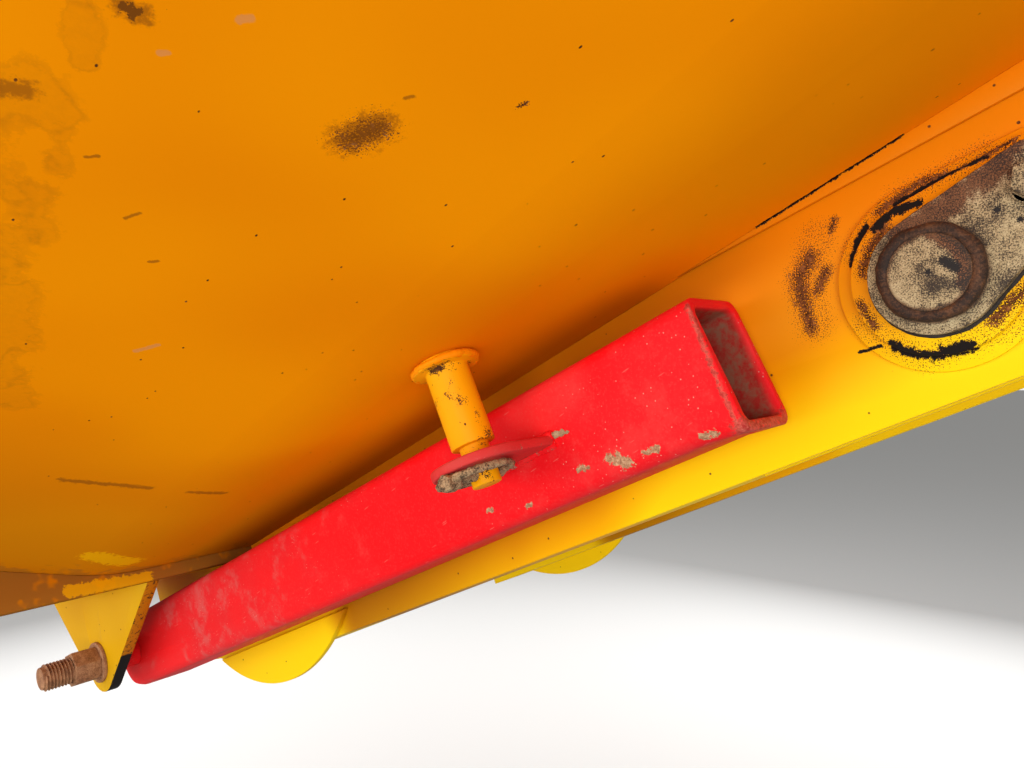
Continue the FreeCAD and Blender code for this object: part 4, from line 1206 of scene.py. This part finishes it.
    def _red_paints(self) -> None:
        """Paints of the prop and its tongue."""
        splashes = (
            Mark((-0.2040, -0.4230, -0.1300), (-0.1860, -0.4230, -0.1310), 0.0040),
            Mark((-0.1960, -0.4230, -0.1270), (-0.1900, -0.4230, -0.1340), 0.0036),
            Mark((-0.1720, -0.4230, -0.1230), (-0.1620, -0.4230, -0.1190), 0.0026),
            Mark((-0.1280, -0.4215, -0.1080), (-0.1180, -0.4215, -0.1060), 0.0030),
            Mark((-0.2310, -0.4230, -0.1400), (-0.2240, -0.4230, -0.1385), 0.0026),
            Mark((-0.3280, -0.4230, -0.1850), (-0.3230, -0.4230, -0.1835), 0.0020),
            Mark((-0.2850, -0.4230, -0.1755), (-0.2810, -0.4230, -0.1740), 0.0020),
            Mark((-0.2620, -0.4230, -0.1180), (-0.2480, -0.4230, -0.1130), 0.0022),
        )
        dusty = (Mark((-0.2850, -0.4230, -0.0950), (-0.2500, -0.4230, -0.0800), 0.030),)
        mouth = ((-0.1330, 0.0440), (-0.1335, 0.0100), (-0.1340, -0.0200), (-0.1335, -0.0480))
        scuffs = (
            *arm_chain(0.0026, *mouth, y=-0.422),
            Mark(
                tuple(ARM @ Vector((-0.1320, -0.420, -0.0500))),
                tuple(ARM @ Vector((-0.1320, -0.350, -0.0500))),
                0.0100,
            ),
        )
        self.red = PropPaint("prop_paint", splashes=splashes, dusty=dusty, scuffs=scuffs).dress()
        self.red_edge = PropPaint(
            "prop_paint_edge", chipping=0.55, splashes=splashes, scuffs=scuffs
        ).dress()
        self.tongue = PropPaint(
            "tongue_paint", chipping=0.25, fresh=(0.66, 0.030, 0.030), faded=(0.50, 0.060, 0.050)
        ).dress()

    def _steels(self) -> None:
        """Bare and dirty steels."""
        flag_rust = (
            *arm_chain(0.0130, (-0.0017, 0.0360), (0.0271, 0.0360), (0.0587, 0.0410)),
            *arm_chain(0.0090, (0.0600, 0.0500), (0.0900, 0.0500)),
            *arm_chain(0.0060, (0.0176, -0.0155), (0.0215, 0.0060), (0.0120, 0.0200)),
        )
        holes = (
            *arm_chain(0.0026, (0.0, 0.0)),
            *arm_chain(0.0042, (0.0110, 0.0020), (0.0150, -0.0050)),
            *arm_chain(0.0026, (0.0480, 0.0180)),
            *arm_chain(0.0022, (0.0560, 0.0060)),
        )
        self.flag = RawSteel(
            "flag_steel",
            (
                (0.30, (0.075, 0.036, 0.015)),
                (0.42, (0.210, 0.130, 0.060)),
                (0.52, (0.400, 0.295, 0.150)),
                (0.66, (0.600, 0.495, 0.290)),
            ),
            scale=46.0, grain=1000.0, metal=0.15, black=0.62, rusted=flag_rust, holes=holes,
            ring=0.0280,
        ).dress()
        self.rusty = RawSteel(
            "rusty_steel",
            (
                (0.28, (0.060, 0.022, 0.010)),
                (0.44, (0.240, 0.100, 0.042)),
                (0.56, (0.450, 0.215, 0.098)),
                (0.72, (0.600, 0.360, 0.190)),
            ),
            scale=95.0, relief=0.0012,
        ).dress()
        self.caked = RawSteel(
            "caked_steel",
            (
                (0.30, (0.035, 0.015, 0.007)),
                (0.42, (0.160, 0.085, 0.038)),
                (0.52, (0.360, 0.220, 0.110)),
                (0.66, (0.600, 0.420, 0.230)),
            ),
            scale=150.0, grain=900.0, relief=0.0020, black=0.35,
        ).dress()
        self.burnt = RawSteel(
            "burnt_weld",
            (
                (0.30, (0.007, 0.004, 0.003)),
                (0.46, (0.028, 0.013, 0.007)),
                (0.60, (0.110, 0.042, 0.014)),
                (0.75, (0.260, 0.095, 0.028)),
            ),
            scale=60.0, relief=0.0014,
        ).dress()
        self.grease = RawSteel(
            "grease",
            ((0.30, (0.008, 0.007, 0.006)), (0.70, (0.040, 0.026, 0.018))),
            scale=90.0, relief=0.0008,
        ).dress()
        self.mud = RawSteel("dried_mud", MUD, scale=120.0, relief=0.0016).dress()


@dataclass
class LoadShell:
    """Curved plates of the skip with their rim, ribs, lip and seams."""

    finishes: Finishes
    plates: tuple[str, ...] = (
        "floor_plate", *both("flank"), "rear_shell", "rear_wall", *both("side_wall")
    )
    trimmed: tuple[str, ...] = (
        "rim", "lip_bar", "front_bearer",
        *both("rib_front", "rib_rear", "rear_rib", "lifting_eye_front", "lifting_eye_rear"),
        "ram_pad", *both("ram_lug"),
    )
    strips: tuple[str, ...] = both("rear_strip")
    edge: float = 0.0016

    def build(self) -> None:
        """Paints the plates and rounds the pieces on them."""
        for node in self.plates:
            source = bpy.data.objects[node]
            source.data.materials.clear()
            marked = node == "flank_right"
            source.data.materials.append(self.finishes.flank if marked else self.finishes.shell)
            log.info("%s painted", node)
        for nodes, paint in (
            (self.trimmed, self.finishes.orange),
            (self.strips, self.finishes.strip),
        ):
            for node in nodes:
                materials = (paint, self.finishes.orange_edge)
                Bench.edged(node, Body.SKIP, Slot.ORANGE, materials, self.edge)


@dataclass
class HingeArms:
    """Webs, soffits, lobes, straps and bosses."""

    finishes: Finishes
    parts: tuple[str, ...] = (
        "arm_web_outer", "arm_web_inner", "arm_soffit", "arm_diaphragm", "rest_lobe",
        "arm_strap", "pin_boss",
    )
    edge: float = 0.0012

    def build(self) -> None:
        """Rounds and paints both arms and the tube between them."""
        nodes = [f"{part}_{hand.label}" for hand in Hand for part in self.parts]
        materials = (self.finishes.arm, self.finishes.arm_edge)
        for node in [*nodes, "cross_tube"]:
            Bench.edged(node, Body.SKIP, Slot.YELLOW, materials, self.edge)


@dataclass
class HingePins:
    """Pins, flags and keeper bolts, the weld round each pin and the grease round each flag."""

    finishes: Finishes
    weld_radius: float = 0.0278
    step_radius: float = 0.0360
    step_share: float = 0.87
    weld_face: float = 0.359
    weld_depth: float = 0.0010
    ring_face: float = 0.343
    flag_radius: float = 0.0405
    tip_radius: float = 0.0265
    tip_reach: float = 0.076
    tip_lift: float = 18.0
    edge: float = 0.0010

    def build(self) -> None:
        """Rounds and dresses both pins."""
        flag, burnt = self.finishes.flag, self.finishes.burnt
        weld = Bead(radius=0.0049, pitch=0.0040, wander=0.0042, sides=12, step=0.0)
        for hand in Hand:
            for part, rim, shape in (
                ("pin_flag", flag, self._shrink),
                ("hinge_pin", flag, None),
                ("keeper_bolt", burnt, None),
            ):
                node = f"{part}_{hand.label}"
                Bench.edged(node, Body.SKIP, Slot.GREASY, (flag, rim), self.edge, shape=shape)
            place = across(ARM, 0.0, hand.value * (self.weld_face - self.weld_depth), 0.0)
            bead = weld.ring(f"pin_weld_{hand.label}", self.weld_radius, place)
            Bench.seat(bead, Body.SKIP, Slot.GREASY, (burnt,))
            self._grease(hand)

    def _shrink(self, piece: bpy.types.Object) -> None:
        """Draws the foot of the pin's weld in a little, on a copy of the flag."""
        Bench.pick(
            piece, lambda place: abs(math.hypot(place.x, place.z) - self.step_radius) < 0.0004
        )
        size = (self.step_share, 1.0, self.step_share)
        bpy.ops.transform.resize(value=size, center_override=(0.0, 0.0, 0.0))
        bpy.ops.object.mode_set(mode="OBJECT")

    def _grease(self, hand: Hand) -> None:
        """Black line of grease squeezed out round a flag."""
        aim = math.radians(self.tip_lift)
        lean = math.acos((self.flag_radius - self.tip_radius) / self.tip_reach)
        tip = (self.tip_reach * math.cos(aim), self.tip_reach * math.sin(aim))
        stops = []
        for centre, radius, start, stop in (
            ((0.0, 0.0), self.flag_radius, aim + lean, aim - lean + math.tau),
            (tip, self.tip_radius, aim - lean, aim + lean),
        ):
            for step in range(25):
                turn = start + (stop - start) * step / 24
                u = centre[0] + radius * math.cos(turn)
                w = centre[1] + radius * math.sin(turn)
                stops.append(ARM @ Vector((u, hand.value * self.ring_face, w)))
        line = Bead(radius=0.0019, pitch=0.0035, wander=0.0016, sides=6, step=0.0)
        bead = line.follow(f"pin_grease_{hand.label}", stops, closed=True)
        Bench.seat(bead, Body.SKIP, Slot.GREASY, (self.finishes.grease,))


@dataclass
class SafetyProp:
    """Red prop with its tongue, the tongue's weld and the mud caked on it."""

    finishes: Finishes
    edge: float = 0.0020
    outer: float = -0.423
    tongue_middle: float = -0.322
    tongue_half: float = 0.041
    tongue_top: float = 0.005
    tongue_under: float = -0.003
    lip_foot: float = -0.160
    lip_from: float = -0.140
    lip_under: float = -0.030
    lip_push: Place = (0.003, 0.0, -0.0035)

    def build(self) -> None:
        """Rounds and paints the prop."""
        for node, paint, shape in (
            ("prop_tube", self.finishes.red, self._flare),
            ("prop_tongue", self.finishes.tongue, None),
        ):
            materials = (paint, self.finishes.red_edge)
            Bench.edged(node, Body.PROP, Slot.RED, materials, self.edge, 3, shape)
        for name, w, radius, paint in (
            ("tongue_weld_top", self.tongue_top, 0.0042, self.finishes.red),
            ("tongue_weld_under", self.tongue_under, 0.0036, self.finishes.red_edge),
        ):
            ends = (self.tongue_middle - self.tongue_half, self.tongue_middle + self.tongue_half)
            stops = [ARM @ Vector((u, self.outer, w)) for u in ends]
            weld = Bead(radius=radius, pitch=0.0046, wander=0.0030, sides=12, step=0.08)
            Bench.seat(weld.follow(name, stops), Body.PROP, Slot.RED, (paint,))
        self._cake()

    def _flare(self, piece: bpy.types.Object) -> None:
        """Beats the mouth's lower edge a little outwards."""
        local = ARM.inverted()

        def on_lip(corner: Vector) -> bool:
            """Whether a corner belongs to the mouth's lower edge."""
            place = local @ corner
            return place.x > self.lip_from and place.z < self.lip_under

        Bench.alone(piece)
        bpy.ops.object.mode_set(mode="EDIT")
        bpy.ops.mesh.select_all(action="SELECT")
        bpy.ops.mesh.bisect(
            plane_co=tuple(ARM @ Vector((self.lip_foot, 0.0, 0.0))),
            plane_no=tuple(ARM @ Vector((1.0, 0.0, 0.0))),
        )
        Bench.pick(piece, on_lip)
        bpy.ops.transform.translate(value=tuple(ARM @ Vector(self.lip_push)))
        bpy.ops.object.mode_set(mode="OBJECT")

    def _cake(self) -> None:
        """Lumps of dried mud by the tongue."""
        for index, (u, y, w, size) in enumerate((
            (-0.2790, -0.4235, 0.0035, 0.0034), (-0.2730, -0.4232, 0.0028, 0.0026),
            (-0.2850, -0.4240, 0.0060, 0.0026), (-0.2680, -0.4232, 0.0010, 0.0020),
        )):
            Bench.clear()
            bpy.ops.mesh.primitive_ico_sphere_add(subdivisions=4, radius=size)
            piece = bpy.context.object
            piece.name = f"mud_lump_{index}"
            bpy.ops.transform.resize(value=(1.5, 0.35, 0.8))
            Bench.settle(piece, ARM @ Matrix.Translation((u, y, w)))
            Bench.roughen(piece, 0.004, 0.004)
            Bench.smooth(piece, 60.0)
            Bench.seat(piece, Body.PROP, Slot.RED, (self.finishes.mud,))


@dataclass
class StudAndRing:
    """Stud that holds the prop up, with its collar weld, and the ring pin under the tongue."""

    finishes: Finishes
    foot: tuple[float, float] = (-0.32198, -0.471)
    collar_radius: float = 0.0262
    collar_drop: float = 0.0050
    edge: float = 0.0012

    def build(self) -> None:
        """Rounds and dresses the stud and the ring pin."""
        materials = (self.finishes.stud, self.finishes.bracket_edge)
        Bench.edged("prop_stud", Body.SKIP, Slot.YELLOW, materials, self.edge)
        level = FLOOR @ Matrix.Translation((*self.foot, FLOOR_UNDER - self.collar_drop))
        weld = Bead(radius=0.0030, pitch=0.0036, wander=0.0036, sides=12, step=0.05)
        bead = weld.ring("stud_weld", self.collar_radius, level)
        Bench.seat(bead, Body.SKIP, Slot.YELLOW, (self.finishes.orange,))
        pin = Bench.copy_of("linch_pin", "linch_pin_caked")
        Bench.apply(pin, "REMESH", mode="VOXEL", voxel_size=0.0009)
        Bench.roughen(pin, 0.0035, 0.0024)
        Bench.smooth(pin, 60.0)
        Bench.seat(pin, Body.SKIP, Slot.RUSTY, (self.finishes.caked,), ["linch_pin"])


@dataclass
class PropPivot:
    """Ear, spacers, bolt, lock nut and washer at the prop's tail."""

    finishes: Finishes
    pivot: float = -1.134
    nut_out: float = 0.511
    bolt_out: float = 0.549
    bolt_radius: float = 0.015
    thread_pitch: float = 0.0042
    ridge: float = 0.0024
    ridge_out: float = 0.0004
    edge: float = 0.0012

    def build(self) -> None:
        """Rounds and rusts the bolt set and paints the ear."""
        brackets = (self.finishes.bracket, self.finishes.bracket_edge)
        rusty = (self.finishes.rusty, self.finishes.rusty)
        red = (self.finishes.red, self.finishes.red_edge)
        for node, slot, materials in (
            ("prop_ear", Slot.YELLOW, brackets),
            ("spacer_inner", Slot.YELLOW, brackets),
            ("spacer_outer", Slot.RED, red),
            ("pivot_bolt", Slot.RUSTY, rusty),
            ("pivot_nut", Slot.RUSTY, rusty),
            ("pivot_washer", Slot.RUSTY, rusty),
        ):
            Bench.edged(node, Body.SKIP, slot, materials, self.edge)
        self._thread()

    def _thread(self) -> None:
        """Helical ridge on the bolt's free end."""
        Bench.clear()
        bpy.ops.mesh.primitive_circle_add(
            vertices=3, radius=self.ridge, fill_type="NOTHING",
            location=(self.bolt_radius + self.ridge_out, 0.0, 0.0),
            rotation=(math.radians(90.0), math.radians(90.0), 0.0),
        )
        piece = bpy.context.object
        piece.name = "pivot_bolt_thread"
        bpy.ops.object.transform_apply(location=True, rotation=True, scale=True)
        turns = int((self.bolt_out - self.nut_out - 0.004) / self.thread_pitch)
        Bench.apply(
            piece, "SCREW", axis="Z", angle=math.tau, screw_offset=self.thread_pitch,
            iterations=turns, steps=32, render_steps=32,
        )
        Bench.settle(piece, across(ARM, self.pivot, -(self.nut_out + 0.001), 0.0))
        Bench.close_ends(piece, 3)
        Bench.smooth(piece, 30.0)
        Bench.seat(piece, Body.SKIP, Slot.RUSTY, (self.finishes.rusty,))


@dataclass
class Studio:
    """Pale floor, soft lights and the photograph's camera.

    Args:
        floor_level: height of the floor, below the prop where it hangs straight down.
        floor_size: radius of the floor.
        ground_light: strength of the surround's lower half as a light.
        sky_light: strength of its upper half as a light.
        backdrop: strength of all of it to the camera.
        eye: place of the camera.
        right: direction of the picture's right side.
        down: direction of the picture's lower side.
        ahead: direction of view.
        focal: focal length in millimetres.
        film: width of the film in millimetres.
        target: point that the lamps aim at.
        lamps: name, place, size and power of each lamp.
    """

    floor_level: float = -1.560
    floor_size: float = 30.0
    ground_light: float = 0.38
    sky_light: float = 0.30
    backdrop: float = 0.90
    eye: Place = (0.12321, -0.91824, -0.04701)
    right: Place = (0.76092, 0.64874, -0.01153)
    down: Place = (0.01906, -0.04011, -0.99901)
    ahead: Place = (-0.64856, 0.75995, -0.04289)
    focal: float = 27.49
    film: float = 36.0
    target: Place = (-0.4, 0.0, -0.05)
    lamps: tuple[tuple[str, Place, tuple[float, float], float], ...] = (
        ("key", (-1.8, -3.2, 0.0), (3.0, 1.6), 58.0),
        ("front", (1.6, -3.0, -0.1), (2.8, 1.4), 82.0),
        ("top", (-0.6, -0.4, 3.6), (4.0, 4.0), 120.0),
        ("left", (-0.6, 3.8, 0.5), (3.4, 1.6), 90.0),
        ("rear", (-4.6, 0.4, 0.5), (3.0, 1.6), 75.0),
    )

    def build(self) -> None:
        """Sets the stage."""
        self._floor()
        self._sky()
        for name, place, size, power in self.lamps:
            self._lamp(name, Vector(place), size, power)
        self._camera()

    def _floor(self) -> None:
        """Pale matt floor that only the camera sees; the sky's lower half stands for its bounce."""
        Bench.clear()
        bpy.ops.mesh.primitive_circle_add(
            vertices=96, radius=self.floor_size, fill_type="NGON",
            location=(0.0, 0.0, self.floor_level),
        )
        floor = bpy.context.object
        floor.name = "studio_floor"
        bpy.ops.object.transform_apply(location=True, rotation=True, scale=True)
        floor.visible_diffuse = False
        floor.visible_glossy = False
        floor.visible_shadow = False
        material = Recipe("pale_floor").finish(Base_Color=(0.82, 0.82, 0.81), Roughness=0.9)
        floor.data.materials.append(material)

    def _sky(self) -> None:
        """Even pale surround: white to the camera, dimmer as a light, brighter from below."""
        world = bpy.data.worlds.new("studio")
        bpy.context.scene.world = world
        world.cycles.sampling_method = "NONE"
        world.use_nodes = True
        tree = world.node_tree
        tree.nodes.clear()
        coords = tree.nodes.new("ShaderNodeTexCoord")
        parts = tree.nodes.new("ShaderNodeSeparateXYZ")
        tree.links.new(coords.outputs["Generated"], parts.inputs[0])
        lit = tree.nodes.new("ShaderNodeMapRange")
        for socket, value in (
            ("From Min", -0.12),
            ("From Max", 0.05),
            ("To Min", self.ground_light),
            ("To Max", self.sky_light),
        ):
            lit.inputs[socket].default_value = value
        tree.links.new(parts.outputs["Z"], lit.inputs["Value"])
        path = tree.nodes.new("ShaderNodeLightPath")
        level = tree.nodes.new("ShaderNodeMapRange")
        tree.links.new(lit.outputs[0], level.inputs["To Min"])
        level.inputs["To Max"].default_value = self.backdrop
        tree.links.new(path.outputs["Is Camera Ray"], level.inputs["Value"])
        back = tree.nodes.new("ShaderNodeBackground")
        back.inputs["Color"].default_value = (1.0, 0.99, 0.97, 1.0)
        tree.links.new(level.outputs[0], back.inputs["Strength"])
        out = tree.nodes.new("ShaderNodeOutputWorld")
        tree.links.new(back.outputs[0], out.inputs["Surface"])

    def _lamp(self, name: str, place: Vector, size: tuple[float, float], power: float) -> None:
        """Soft box aimed at the part's middle."""
        light = bpy.data.lights.new(name, "AREA")
        light.shape = "RECTANGLE"
        light.size, light.size_y = size
        light.energy = power
        lamp = bpy.data.objects.new(name, light)
        lamp.location = place
        aim = Vector(self.target) - place
        lamp.rotation_euler = aim.to_track_quat("-Z", "Y").to_euler()
        bpy.context.scene.collection.objects.link(lamp)

    def _camera(self) -> None:
        """Camera where the photograph was taken."""
        lens = bpy.data.cameras.new("photo_camera")
        lens.lens = self.focal
        lens.sensor_width = self.film
        lens.clip_start = 0.01
        camera = bpy.data.objects.new("photo_camera", lens)
        columns = (Vector(self.right), -Vector(self.down), -Vector(self.ahead))
        turn = Matrix([(*column, 0.0) for column in columns] + [(0, 0, 0, 1)]).transposed()
        camera.matrix_world = Matrix.Translation(self.eye) @ turn
        bpy.context.scene.collection.objects.link(camera)
        bpy.context.scene.camera = camera


def main() -> None:
    """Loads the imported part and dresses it."""
    logging.basicConfig(level=logging.INFO, format="%(name)s: %(message)s")
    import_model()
    finishes = Finishes()
    for part in (LoadShell, HingeArms, HingePins, SafetyProp, StudAndRing, PropPivot):
        part(finishes).build()
    Studio().build()
    bpy.context.scene.view_settings.view_transform = "Standard"


if __name__ == "__main__":
    main()
